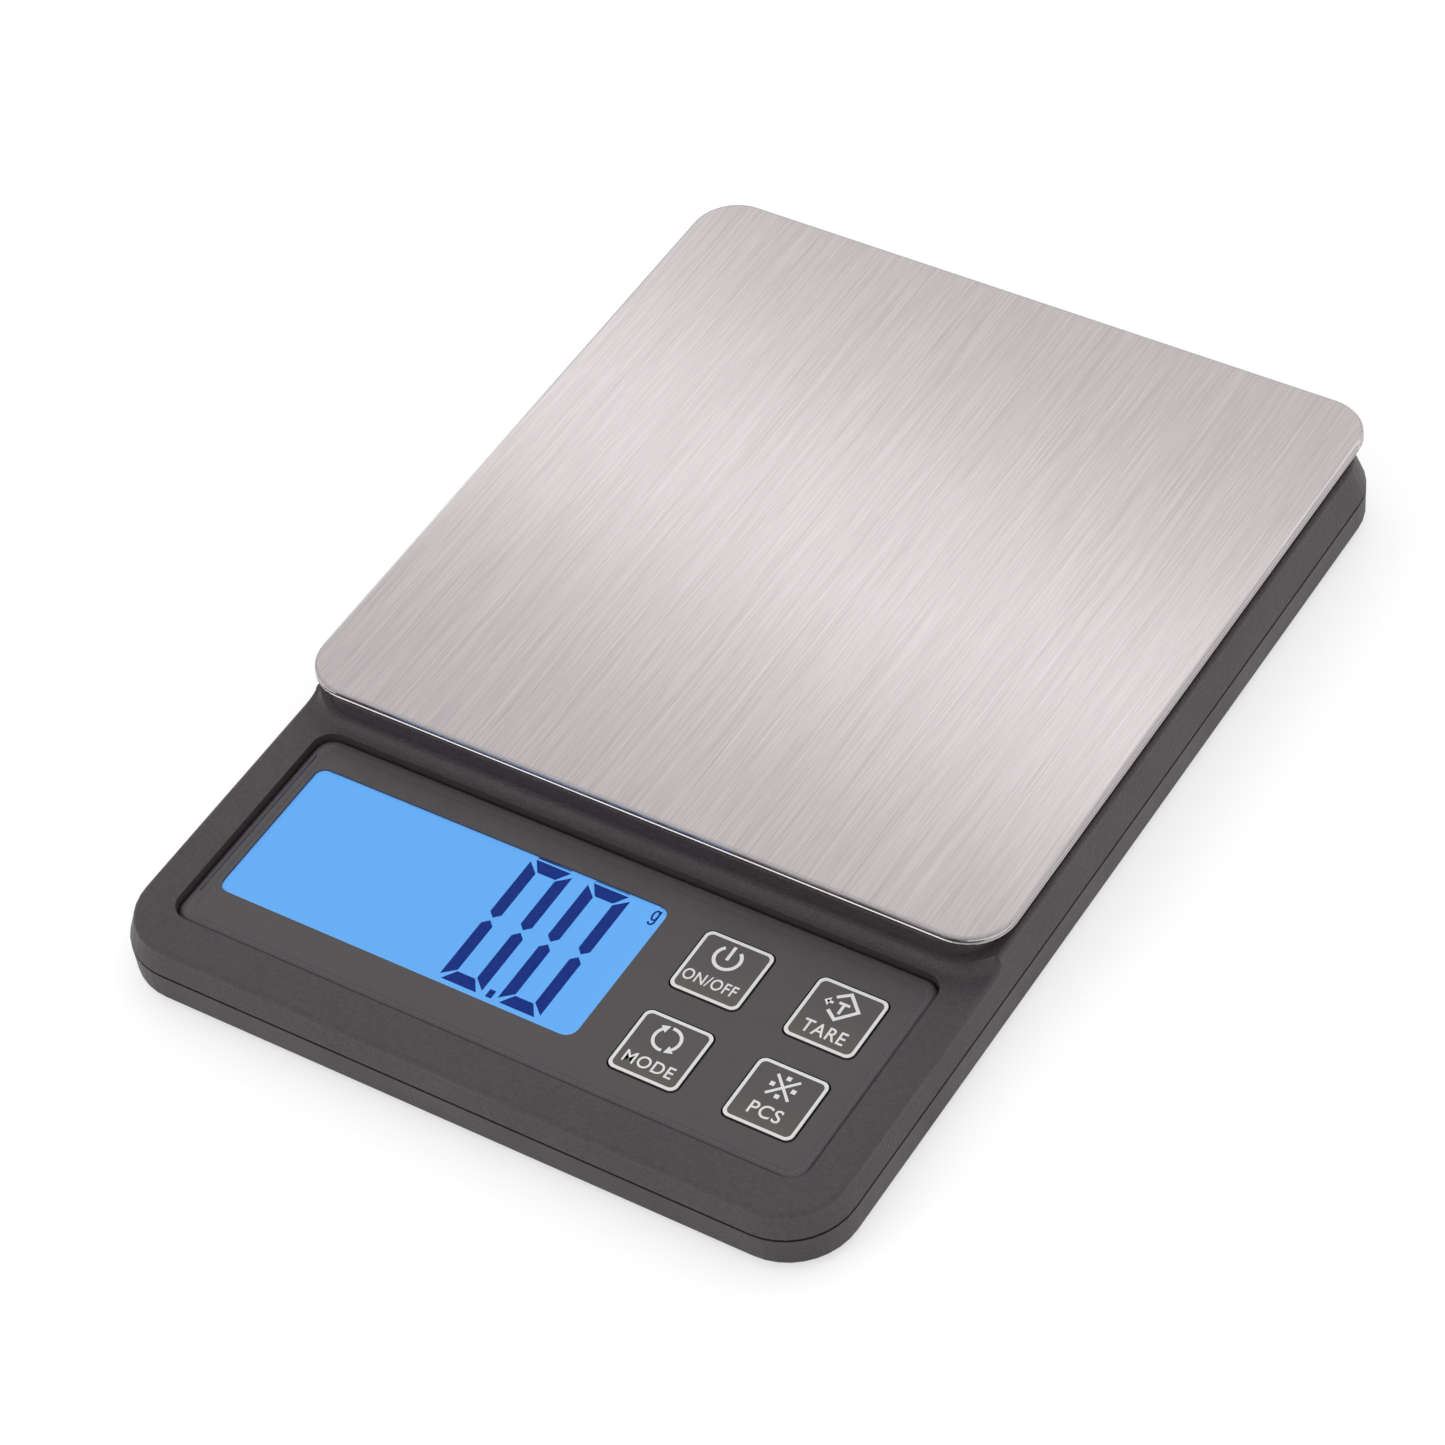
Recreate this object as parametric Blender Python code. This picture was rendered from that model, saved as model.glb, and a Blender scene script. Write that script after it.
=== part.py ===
"""Digital gram scale: a slim two-shell case with a steel weighing plate on a load cell.

Metres, +Z up. The origin is the centre of the footprint, on the surface that the feet stand on.
+X is to the user's right, -Y is the display end and +Y is the back.
"""

import math

import bmesh
import bpy
from mathutils import Vector

# ---------------------------------------------------------------- fits
GAP = 0.0003  # between pieces that touch or pass each other
SEAT = 0.00025  # between pieces stacked on each other

# ---------------------------------------------------------------- case
CASE_WIDTH = 0.1322
CASE_LENGTH = 0.1873
CASE_CORNER = 0.0115
CASE_WALL = 0.0020
FLOOR = 0.0016
TOP_DRAFT = 0.32
BASE_DRAFT = 0.02
BASE_EDGE = 0.0006
FOOT_PROUD = 0.0015
PARTING = 0.0073
PARTING_LINE = 0.0005
DECK = 0.0118
TOP_EDGE = 0.0010
PLINTH_EDGE = 0.0005
PLINTH_CORNER = 0.0075
RISER_INSET = 0.0041
RISER_CORNER = 0.0070
LEDGE_DROP = 0.0030
LEDGE_WIDTH = 0.00025
COVE_WIDTH = 0.00225
LIP_WIDTH = 0.0008
LIP_HEIGHT = 0.0010
CORNER_STEPS = 9

# ---------------------------------------------------------------- weighing plate and its carrier
PLATE_WIDTH = 0.1300
PLATE_LENGTH = 0.1311
PLATE_CORNER = 0.0082
PLATE_SHEET = 0.0006
PLATE_SKIRT = 0.0014
PLATE_EDGE = 0.0006
PLATE_HEM = 0.0002
PLATE_WAIST = 0.00012
PLATE_TOP = 0.0190
PLATE_GAP = 0.0008
PLATE_BACK_MARGIN = 0.0012
PLINTH_SETBACK = 0.00025
TRAVEL = 0.0005
TAPE = 0.0005
TAPE_WIDTH = 0.0120
CARRIER = 0.0013
CARRIER_MARGIN = 0.0060
CARRIER_CORNER = 0.0060
CARRIER_BAR = 0.0150
WELL_MARGIN = 0.0015
WELL_ROOF = 0.0012

# ---------------------------------------------------------------- control panel
PANEL_WIDTH = 0.1172
PANEL_DEPTH = 0.0439
PANEL_CORNER = 0.0036
PANEL_FRONT_MARGIN = 0.0086
PANEL_DROP = 0.0009
PANEL_LINE = 0.0005
PANEL_BEVEL = 0.0015
PANEL_BEVEL_DROP = 0.0005
PANEL_FLOOR = 0.0012
PANEL_WALL = 0.0015
BEZEL = 0.0008
OVERLAY = 0.0005
WINDOW_WIDTH = 0.0669
WINDOW_DEPTH = 0.0284
WINDOW_CORNER = 0.0018
WINDOW_X = -0.02115
WINDOW_SHIFT = 0.00085
LCD_WIDTH = 0.0700
LCD_DEPTH = 0.0310
LCD_GLASS = 0.0020
LCD_CLEARANCE = 0.0008
CONTACT_STRIP = 0.0020

# ---------------------------------------------------------------- keys
KEY_SIZE = 0.0124
KEY_CORNER = 0.0013
KEY_COLUMNS = (0.0262, 0.0467)
KEY_ROW_SHIFTS = (0.00835, -0.00935)
KEY_NAMES = (("power", "tare"), ("mode", "pcs"))
KEY_PROUD = 0.00015
KEY_CAP = 0.0009
KEY_TRAVEL = 0.00025
STEM_RADIUS = 0.0018
SWITCH_SIZE = 0.0062
SWITCH_HEIGHT = 0.0016
PLUNGER_RADIUS = 0.0016
PLUNGER_PROUD = 0.0008
PLUNGER_DEPTH = 0.0008

# ---------------------------------------------------------------- circuit board
BOARD_WIDTH = 0.1120
BOARD_DEPTH = 0.0380
BOARD = 0.0012
CHIP_RADIUS = 0.0042
CHIP_HEIGHT = 0.0014

# ---------------------------------------------------------------- load cell
BEAM_LENGTH = 0.0470
BEAM_WIDTH = 0.0120
BEAM_HEIGHT = 0.0060
BEAM_HOLES = (0.0125, 0.0200)
FLEXURE_RADIUS = 0.0023
FLEXURE_SPACING = 0.0052
FLEXURE_SLOT = 0.0005
SPACER = 0.0006
SPACER_LENGTH = 0.0140
PEDESTAL = 0.0015
STOP_SIZE = 0.0070
GAUGE_LENGTH = 0.0150
GAUGE_WIDTH = 0.0070
GAUGE = 0.0004

# ---------------------------------------------------------------- batteries
CELL_RADIUS = 0.00525
CELL_LENGTH = 0.0435
CELL_TIP_RADIUS = 0.0019
CELL_TIP = 0.0009
CELL_PITCH = 0.0112
BAY_X = 0.0
BAY_SETBACK = 0.00675
BAY_END = 0.0047
BAY_SIDE = 0.0008
BAY_WALL = 0.0012
DOOR = 0.0012
DOOR_RIB = 0.0010
CONTACT = 0.0004
CONTACT_HEIGHT = 0.0070

# ---------------------------------------------------------------- fasteners and feet
SCREW_RADIUS = 0.0013
SCREW_HOLE = SCREW_RADIUS + GAP
HEAD_RADIUS = 0.0026
HEAD = 0.0013
HEAD_SINK = 0.0004
POCKET_RADIUS = HEAD_RADIUS + GAP
BOSS_RADIUS = 0.0033
CASE_SCREW_INSET = (0.0073, 0.0074)
SCREW_REACH = 0.0062
SLOT_WIDTH = 0.0005
SLOT_DEPTH = 0.0005
SCREW_SIDES = 12
FOOT_RADIUS = 0.0055
FOOT_SEAT = 0.0007
FOOT_INSET = (0.0140, 0.0175)

# ---------------------------------------------------------------- wires
CELL_WIRE = 0.0009
BATTERY_WIRE = 0.0012
WIRE_PITCH = 0.0014

# ---------------------------------------------------------------- heights worked out from the above
CASE_BOTTOM = FOOT_PROUD
FLOOR_TOP = CASE_BOTTOM + FLOOR
HALF_X = CASE_WIDTH / 2
HALF_Y = CASE_LENGTH / 2
PLATE_Y = HALF_Y - PLATE_BACK_MARGIN - PLATE_LENGTH / 2
PLINTH_FRONT = PLATE_Y - PLATE_LENGTH / 2 + PLINTH_SETBACK
PLINTH = PLATE_TOP - PLATE_SKIRT - PLATE_GAP
LEDGE = PLINTH - LEDGE_DROP
PLATE_BOTTOM = PLATE_TOP - PLATE_SHEET
TAPE_TOP = PLATE_BOTTOM - SEAT
CARRIER_TOP = TAPE_TOP - TAPE - SEAT
CARRIER_BOTTOM = CARRIER_TOP - CARRIER
WELL_FLOOR = CARRIER_BOTTOM - TRAVEL - SEAT
WELL_CEILING = WELL_FLOOR - WELL_ROOF
PANEL_TOP = DECK - PANEL_DROP
BEZEL_POCKET = PANEL_TOP - OVERLAY - GAP
BEZEL_BOTTOM = BEZEL_POCKET - BEZEL
RECESS_FLOOR = BEZEL_BOTTOM - GAP
TRAY_BOTTOM = RECESS_FLOOR - PANEL_FLOOR
PANEL_Y = PANEL_FRONT_MARGIN + PANEL_DEPTH / 2 - HALF_Y
WINDOW_Y = PANEL_Y + WINDOW_SHIFT
KEY_ROWS = [PANEL_Y + shift for shift in KEY_ROW_SHIFTS]
SWITCH_TOP = TRAY_BOTTOM - GAP
BOARD_TOP = SWITCH_TOP - SWITCH_HEIGHT - GAP
BOARD_BOTTOM = BOARD_TOP - BOARD
BOARD_Y = PANEL_Y
LCD_TOP = PANEL_TOP - OVERLAY - GAP
LCD_BOTTOM = LCD_TOP - LCD_GLASS
PEDESTAL_TOP = FLOOR_TOP + PEDESTAL
BEAM_BOTTOM = PEDESTAL_TOP + SEAT + SPACER + SEAT
BEAM_TOP = BEAM_BOTTOM + BEAM_HEIGHT
LIVE_SPACER_TOP = BEAM_TOP + SEAT + SPACER
BEAM_Y = PLATE_Y
BAY_HALF_X = CELL_LENGTH / 2 + BAY_END
BAY_HALF_Y = CELL_PITCH / 2 + CELL_RADIUS + BAY_SIDE
BAY_Y = PLINTH_FRONT + BAY_SETBACK + BAY_HALF_Y
CELL_Z = CASE_BOTTOM + DOOR + GAP + CELL_RADIUS
BAY_TOP = WELL_CEILING - GAP
LEAD_Z = CELL_Z + CONTACT_HEIGHT / 2 + GAP + BATTERY_WIRE / 2
HEAD_BOTTOM = CASE_BOTTOM + HEAD_SINK
HEAD_TOP = HEAD_BOTTOM + HEAD
CASE_SCREWS = [
    (side * (HALF_X - CASE_SCREW_INSET[0]), end * (HALF_Y - CASE_SCREW_INSET[1]))
    for end in (-1, 1)
    for side in (-1, 1)
]
FEET = [
    (side * (HALF_X - FOOT_INSET[0]), end * (HALF_Y - FOOT_INSET[1]))
    for end in (-1, 1)
    for side in (-1, 1)
]
BOARD_EDGE = BOARD_DEPTH / 2 - BOSS_RADIUS
BESIDE_LCD = WINDOW_X + LCD_WIDTH / 2 + LCD_CLEARANCE + HEAD_RADIUS
BOARD_SCREWS = [
    (BESIDE_LCD, BOARD_Y + BOARD_EDGE),
    (BESIDE_LCD, BOARD_Y - BOARD_EDGE),
    (BOARD_WIDTH / 2 - HEAD_RADIUS, BOARD_Y),
]
BOARD_RESTS = [(BOSS_RADIUS - BOARD_WIDTH / 2, BOARD_Y + side * BOARD_EDGE) for side in (-1, 1)]
CHIP_PLACE = (sum(KEY_COLUMNS) / 2, sum(KEY_ROWS) / 2)

for old in list(bpy.data.objects):
    bpy.data.objects.remove(old, do_unlink=True)


# ---------------------------------------------------------------- materials
def material(name, colour, roughness, metallic=0.0):
    made = bpy.data.materials.new(name)
    made.use_nodes = True
    shader = made.node_tree.nodes["Principled BSDF"]
    shader.inputs["Base Color"].default_value = (*colour, 1.0)
    shader.inputs["Roughness"].default_value = roughness
    shader.inputs["Metallic"].default_value = metallic
    made.diffuse_color = (*colour, 1.0)
    return made


CHARCOAL = material("charcoal_plastic", (0.085, 0.080, 0.083), 0.5)
STEEL = material("brushed_stainless", (0.55, 0.53, 0.53), 0.3, 1.0)
OVERLAY_FILM = material("overlay_film", (0.088, 0.084, 0.088), 0.4)
KEY_FILM = material("key_film", (0.075, 0.073, 0.074), 0.35)
CLEAR = material("clear_window", (0.8, 0.85, 0.9), 0.05)
LCD_BLUE = material("lcd_glass", (0.13, 0.42, 0.92), 0.1)
DIFFUSER = material("backlight_diffuser", (0.75, 0.85, 0.95), 0.4)
ALUMINIUM = material("aluminium", (0.78, 0.79, 0.80), 0.35, 1.0)
ZINC = material("zinc_plated_steel", (0.62, 0.62, 0.60), 0.3, 1.0)
BLACK = material("black_plastic", (0.02, 0.02, 0.02), 0.45)
RUBBER = material("rubber", (0.05, 0.05, 0.05), 0.8)
FOAM = material("foam_tape", (0.75, 0.75, 0.72), 0.9)
BOARD_GREEN = material("solder_mask", (0.02, 0.16, 0.07), 0.35)
GAUGE_RESIN = material("gauge_resin", (0.80, 0.78, 0.70), 0.5)
CELL_SLEEVE = material("battery_sleeve", (0.10, 0.25, 0.18), 0.35)
NICKEL = material("nickel_contact", (0.72, 0.70, 0.66), 0.25, 1.0)
WIRE_COLOURS = {
    "red": material("red_insulation", (0.55, 0.02, 0.02), 0.5),
    "black": material("black_insulation", (0.02, 0.02, 0.02), 0.5),
    "green": material("green_insulation", (0.03, 0.30, 0.06), 0.5),
    "white": material("white_insulation", (0.80, 0.80, 0.78), 0.5),
}


# ---------------------------------------------------------------- modelling helpers
def place(name, bm, finish=None, smooth=35.0):
    """Makes a named object from a bmesh, with outward faces and smooth round parts."""
    bmesh.ops.recalc_face_normals(bm, faces=bm.faces)
    mesh = bpy.data.meshes.new(name)
    bm.to_mesh(mesh)
    bm.free()
    mesh.shade_smooth()
    mesh.set_sharp_from_angle(angle=math.radians(smooth))
    made = bpy.data.objects.new(name, mesh)
    bpy.context.scene.collection.objects.link(made)
    if finish:
        mesh.materials.append(finish)
    return made


def helper(made):
    """Marks an object that only cuts or joins others."""
    made.hide_render = True
    made.display_type = "WIRE"
    return made


def boolean(body, operation, other):
    change = body.modifiers.new(other.name, "BOOLEAN")
    change.operation = operation
    change.object = helper(other)
    change.solver = "EXACT"


def cut(body, *others):
    for other in others:
        boolean(body, "DIFFERENCE", other)


def join(body, *others):
    for other in others:
        boolean(body, "UNION", other)


def rounded(width, depth, radius, centre=(0.0, 0.0), steps=CORNER_STEPS):
    """Counter-clockwise points of a rectangle with round corners."""
    reach_x = width / 2 - radius
    reach_y = depth / 2 - radius
    points = []
    for quarter, (sx, sy) in enumerate(((1, 1), (-1, 1), (-1, -1), (1, -1))):
        for step in range(steps + 1):
            angle = math.radians(90 * (quarter + step / steps))
            x = centre[0] + sx * reach_x + radius * math.cos(angle)
            y = centre[1] + sy * reach_y + radius * math.sin(angle)
            points.append((x, y))
    return points


def circle(radius, centre=(0.0, 0.0), steps=24):
    return [
        (
            centre[0] + radius * math.cos(math.tau * step / steps),
            centre[1] + radius * math.sin(math.tau * step / steps),
        )
        for step in range(steps)
    ]


def skin(bm, rings):
    """Adds a closed body through rings of equal length, capped at the first and the last."""
    lines = [[bm.verts.new(point) for point in ring] for ring in rings]
    count = len(lines[0])
    for low, high in zip(lines, lines[1:]):
        for here in range(count):
            ahead = (here + 1) % count
            bm.faces.new((low[here], low[ahead], high[ahead], high[here]))
    bm.faces.new(lines[0])
    bm.faces.new(list(reversed(lines[-1])))


def at_height(outline, z):
    return [(x, y, z) for x, y in outline]


def prism(name, outline, bottom, top, finish=None):
    bm = bmesh.new()
    skin(bm, [at_height(outline, bottom), at_height(outline, top)])
    return place(name, bm, finish)


def prisms(name, outlines, bottom, top):
    """Several separate upright columns in one helper mesh."""
    bm = bmesh.new()
    for outline in outlines:
        skin(bm, [at_height(outline, bottom), at_height(outline, top)])
    return place(name, bm)


def turned(name, profile, centre, finish=None, steps=24):
    """A solid of circles: profile holds (radius, z) from one end to the other."""
    bm = bmesh.new()
    skin(bm, [at_height(circle(radius, centre, steps), z) for radius, z in profile])
    return place(name, bm, finish)


def block(name, low, high, finish=None):
    outline = [(low[0], low[1]), (high[0], low[1]), (high[0], high[1]), (low[0], high[1])]
    return prism(name, outline, low[2], high[2], finish)


def rectangle(width, depth, centre):
    x, y = centre
    return [
        (x - width / 2, y - depth / 2),
        (x + width / 2, y - depth / 2),
        (x + width / 2, y + depth / 2),
        (x - width / 2, y + depth / 2),
    ]


def case_outline(inset, steps=CORNER_STEPS):
    return rounded(
        CASE_WIDTH - 2 * inset, CASE_LENGTH - 2 * inset, CASE_CORNER - inset, steps=steps
    )


def arc(count):
    """Angles in equal steps over a quarter turn, ends left out of the first."""
    return [math.pi / 2 * step / count for step in range(1, count + 1)]


# ---------------------------------------------------------------- case: lower shell
def base_body():
    """The lower shell's tray: rounded lower edge, floor, wall and inner lip in one skin."""
    top = PARTING - PARTING_LINE / 2
    inner = CASE_WALL - LIP_WIDTH
    wall_inset = BASE_DRAFT * (PARTING - CASE_BOTTOM - BASE_EDGE)
    rings = [
        at_height(case_outline(CASE_WALL), FLOOR_TOP),
        at_height(case_outline(CASE_WALL), top + LIP_HEIGHT),
        at_height(case_outline(inner), top + LIP_HEIGHT),
        at_height(case_outline(inner), top),
        at_height(case_outline(0.0), top),
    ]
    for angle in [0.0, *arc(4)]:
        inset = wall_inset + BASE_EDGE * (1 - math.cos(angle))
        z = CASE_BOTTOM + BASE_EDGE * (1 - math.sin(angle))
        rings.append(at_height(case_outline(inset), z))
    bm = bmesh.new()
    skin(bm, rings)
    return place("base_shell", bm, CHARCOAL)


def bay_outline(margin):
    return rectangle(2 * (BAY_HALF_X + margin), 2 * (BAY_HALF_Y + margin), (BAY_X, BAY_Y))


def beam_end(end):
    """Centre of the load cell's fixed (-1) or live (+1) end pad."""
    return (0.0, BEAM_Y + end * sum(BEAM_HOLES) / 2)


def beam_screws(end):
    return [(0.0, BEAM_Y + end * distance) for distance in BEAM_HOLES]


def base_shell():
    shell = base_body()
    inside = FLOOR_TOP - FLOOR / 2
    boss_top = PARTING - GAP
    join(
        shell,
        prisms("base_bosses", [circle(BOSS_RADIUS, p) for p in CASE_SCREWS], inside, boss_top),
        prisms(
            "board_posts",
            [circle(BOSS_RADIUS, p) for p in BOARD_SCREWS + BOARD_RESTS],
            inside,
            BOARD_BOTTOM - GAP,
        ),
        prism(
            "cell_pedestal",
            rectangle(BEAM_WIDTH, SPACER_LENGTH, beam_end(-1)),
            inside,
            PEDESTAL_TOP,
        ),
        prism(
            "overload_stop",
            rectangle(STOP_SIZE, STOP_SIZE, beam_end(1)),
            inside,
            BEAM_BOTTOM - TRAVEL - GAP,
        ),
        prism("bay_walls", bay_outline(BAY_WALL), inside, BAY_TOP),
    )
    under = CASE_BOTTOM - FLOOR
    below_screws = CASE_SCREWS + beam_screws(-1)
    cut(
        shell,
        prism("bay_space", bay_outline(0.0), under, BAY_TOP + FLOOR),
        prisms(
            "screw_pockets",
            [circle(POCKET_RADIUS, p) for p in below_screws],
            under,
            HEAD_TOP + GAP,
        ),
        prisms("screw_ways", [circle(SCREW_HOLE, p, SCREW_SIDES) for p in below_screws], under, DECK),
        prisms(
            "board_screw_holes",
            [circle(SCREW_HOLE, p, SCREW_SIDES) for p in BOARD_SCREWS],
            CASE_BOTTOM + FLOOR / 2,
            DECK,
        ),
        prisms(
            "foot_seats",
            [circle(FOOT_RADIUS + GAP, p) for p in FEET],
            under,
            CASE_BOTTOM + FOOT_SEAT,
        ),
        wire_notches(),
    )
    return shell


def wire_notches():
    """Slots in the battery bay's wall where its two leads come out."""
    notch_x = BAY_X - BAY_HALF_X
    return prisms(
        "bay_wire_notches",
        [
            rectangle(4 * BAY_WALL, 2 * BATTERY_WIRE, (notch_x, BAY_Y + side * CELL_PITCH / 2))
            for side in (-1, 1)
        ],
        LEAD_Z - BATTERY_WIRE,
        BAY_TOP + FLOOR,
    )


# ---------------------------------------------------------------- case: upper shell
def rung_steps():
    """(distance in front of the plinth, height) from the deck up the cove to the ledge."""
    steps = []
    for angle in [0.0, *arc(6)]:
        out = LEDGE_WIDTH + COVE_WIDTH * (1 - math.sin(angle))
        steps.append((out, DECK + (LEDGE - DECK) * (1 - math.cos(angle))))
    return steps


def edge_inset(height):
    """How far the flat top stays inside the parting outline, past the draft and the edge radius."""
    return TOP_DRAFT * (height - TOP_EDGE - PARTING) + TOP_EDGE


def rung(out, height):
    """Points from right to left across the deck, parallel to the plinth's front and its corners."""
    side_x = HALF_X - TOP_DRAFT * (LEDGE - TOP_EDGE - PARTING)
    middle_x = side_x - PLINTH_CORNER
    middle_y = PLINTH_FRONT + PLINTH_CORNER
    radius = PLINTH_CORNER + out
    rail_x = HALF_X - edge_inset(height)
    last = math.asin(min(1.0, (rail_x - middle_x) / radius))
    right = []
    for step in range(CORNER_STEPS + 1):
        angle = last * (1 - step / CORNER_STEPS)
        x = middle_x + radius * math.sin(angle)
        y = middle_y - radius * math.cos(angle)
        right.append((x, y, height))
    left = [(-x, y, z) for x, y, z in reversed(right)]
    return right + left


def shell_edge(rungs, steps):
    """The outline's points as (centre, direction, reach, height), counter-clockwise."""
    corner_x = HALF_X - CASE_CORNER
    corner_y = HALF_Y - CASE_CORNER
    edge = []
    landings = sorted(line[0][1] for line in rungs)
    for y, (_, height) in zip(landings, steps):
        edge.append(((0.0, y), (1.0, 0.0), HALF_X, height))
    for quarter, (sx, sy) in enumerate(((1, 1), (-1, 1))):
        for step in range(CORNER_STEPS + 1):
            turn = math.radians(90 * (quarter + step / CORNER_STEPS))
            way = (math.cos(turn), math.sin(turn))
            centre = (sx * corner_x, sy * corner_y)
            edge.append((centre, way, CASE_CORNER, LEDGE))
    for y, (_, height) in reversed(list(zip(landings, steps))):
        edge.append(((0.0, y), (-1.0, 0.0), HALF_X, height))
    for quarter, (sx, sy) in ((2, (-1, -1)), (3, (1, -1))):
        for step in range(CORNER_STEPS + 1):
            turn = math.radians(90 * (quarter + step / CORNER_STEPS))
            way = (math.cos(turn), math.sin(turn))
            centre = (sx * corner_x, sy * corner_y)
            edge.append((centre, way, CASE_CORNER, DECK))
    return edge


def edge_ring(edge, angle):
    """One ring of the outline; angle None is the parting line, 0 to a quarter turn the top edge."""
    ring = []
    for (cx, cy), (ux, uy), reach, height in edge:
        if angle is None:
            inset, z = 0.0, PARTING + PARTING_LINE / 2
        else:
            inset = edge_inset(height) - TOP_EDGE * math.cos(angle)
            z = height - TOP_EDGE * (1 - math.sin(angle))
        ring.append((cx + ux * (reach - inset), cy + uy * (reach - inset), z))
    return ring


def top_body():
    """The upper shell's outside up to the ledge: walls, soft top edges, deck and cove."""
    steps = rung_steps()
    rungs = [rung(*step) for step in steps]
    edge = shell_edge(rungs, steps)
    count = len(edge)
    bm = bmesh.new()
    rings = [edge_ring(edge, None), edge_ring(edge, 0.0)]
    rings += [edge_ring(edge, angle) for angle in arc(5)]
    lines = [[bm.verts.new(point) for point in ring] for ring in rings]
    for low, high in zip(lines, lines[1:]):
        for here in range(count):
            ahead = (here + 1) % count
            bm.faces.new((low[here], low[ahead], high[ahead], high[here]))
    bm.faces.new(list(reversed(lines[0])))
    rim = lines[-1]
    rails = len(rungs)
    left_start = rails + 2 * (CORNER_STEPS + 1)
    across = []
    for number, points in enumerate(rungs):
        right_end = rim[number]
        left_end = rim[left_start + rails - 1 - number]
        inner = [bm.verts.new(point) for point in points[1:-1]]
        across.append([right_end, *inner, left_end])
    for near, far in zip(across, across[1:]):
        for here in range(len(near) - 1):
            bm.faces.new((near[here], far[here], far[here + 1], near[here + 1]))
    bm.faces.new(list(reversed(across[0])) + list(reversed(rim[left_start + rails :])))
    bm.faces.new(across[-1][:-1] + list(reversed(rim[rails - 1 + 1 : left_start + 1])))
    return place("top_shell", bm, CHARCOAL)


def riser():
    """The part of the plinth above the ledge, which the plate hangs over."""
    back = HALF_Y - RISER_INSET

    def outline(inset):
        return rounded(
            2 * (HALF_X - RISER_INSET - inset),
            back - PLINTH_FRONT - 2 * inset,
            RISER_CORNER - inset,
            (0.0, (back + PLINTH_FRONT) / 2),
        )

    rings = [at_height(outline(0.0), LEDGE - WELL_ROOF / 2)]
    for angle in [0.0, *arc(4)]:
        inset = PLINTH_EDGE * (1 - math.cos(angle))
        rings.append(at_height(outline(inset), PLINTH - PLINTH_EDGE * (1 - math.sin(angle))))
    bm = bmesh.new()
    skin(bm, rings)
    return place("riser", bm)


def panel_outline(inset):
    return rounded(
        PANEL_WIDTH - 2 * inset,
        PANEL_DEPTH - 2 * inset,
        PANEL_CORNER - min(inset, PANEL_CORNER / 2),
        (0.0, PANEL_Y),
    )


def key_places():
    for row, names in zip(KEY_ROWS, KEY_NAMES):
        for column, name in zip(KEY_COLUMNS, names):
            yield name, (column, row)


def lcd_outline(margin):
    return rectangle(LCD_WIDTH + 2 * margin, LCD_DEPTH + 2 * margin, (WINDOW_X, WINDOW_Y))


def top_shell():
    shell = top_body()
    join(shell, riser())
    under = PARTING - CASE_WALL
    front_end = -HALF_Y + CASE_WALL
    back_end = HALF_Y - CASE_WALL
    step_y = PLINTH_FRONT + CASE_WALL
    inner_x = HALF_X - CASE_WALL - TOP_DRAFT * (DECK - PARTING)
    deck_ceiling = DECK - CASE_WALL
    inner_corner = CASE_CORNER - CASE_WALL
    front_hollow = rounded(
        2 * inner_x, back_end - front_end, inner_corner, (0.0, (front_end + back_end) / 2)
    )
    well = CARRIER_MARGIN - WELL_MARGIN
    well_width = PLATE_WIDTH - 2 * well
    well_length = PLATE_LENGTH - 2 * well
    rear_inset = RISER_INSET + WELL_ROOF
    rear_back = HALF_Y - rear_inset
    rear_hollow = rounded(
        2 * (HALF_X - rear_inset),
        rear_back - step_y,
        PLINTH_CORNER,
        (0.0, (rear_back + step_y) / 2),
    )
    cut(
        shell,
        prism("front_hollow", front_hollow, under, deck_ceiling),
        prism("rear_hollow", rear_hollow, under, WELL_CEILING),
        prism("lip_rebate", case_outline(CASE_WALL - LIP_WIDTH - GAP), under, PARTING + LIP_HEIGHT + GAP),
        prism(
            "well",
            rounded(well_width, well_length, CARRIER_CORNER, (0.0, PLATE_Y)),
            WELL_FLOOR,
            PLINTH + FLOOR,
        ),
        prism(
            "carrier_way",
            rounded(BEAM_WIDTH + 2 * BAY_WALL + 2 * GAP, BEAM_LENGTH, BAY_WALL, (0.0, BEAM_Y)),
            under,
            PLINTH + FLOOR,
        ),
    )
    join(
        shell,
        prism("panel_tray", panel_outline(-PANEL_WALL), TRAY_BOTTOM, deck_ceiling + GAP),
        *top_bosses(),
    )
    cut(
        shell,
        prism("panel_recess", panel_outline(0.0), RECESS_FLOOR, DECK + FLOOR),
        prism("lcd_way", lcd_outline(LCD_CLEARANCE), under, DECK),
        prisms(
            "stem_ways",
            [circle(STEM_RADIUS + 2 * GAP, p) for _, p in key_places()],
            under,
            DECK,
        ),
        *boss_holes(),
    )
    return shell


def top_bosses():
    bottom = PARTING + GAP
    for number, place_ in enumerate(CASE_SCREWS):
        ceiling = WELL_FLOOR if place_[1] > PLINTH_FRONT else DECK
        outline = circle(BOSS_RADIUS, place_)
        yield prism(f"top_boss_{number + 1}", outline, bottom, ceiling - GAP)


def boss_holes():
    for number, place_ in enumerate(CASE_SCREWS):
        outline = circle(SCREW_HOLE, place_, SCREW_SIDES)
        reach = HEAD_TOP + SCREW_REACH + 2 * GAP
        yield prism(f"boss_hole_{number + 1}", outline, PARTING - CASE_WALL, reach)


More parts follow.
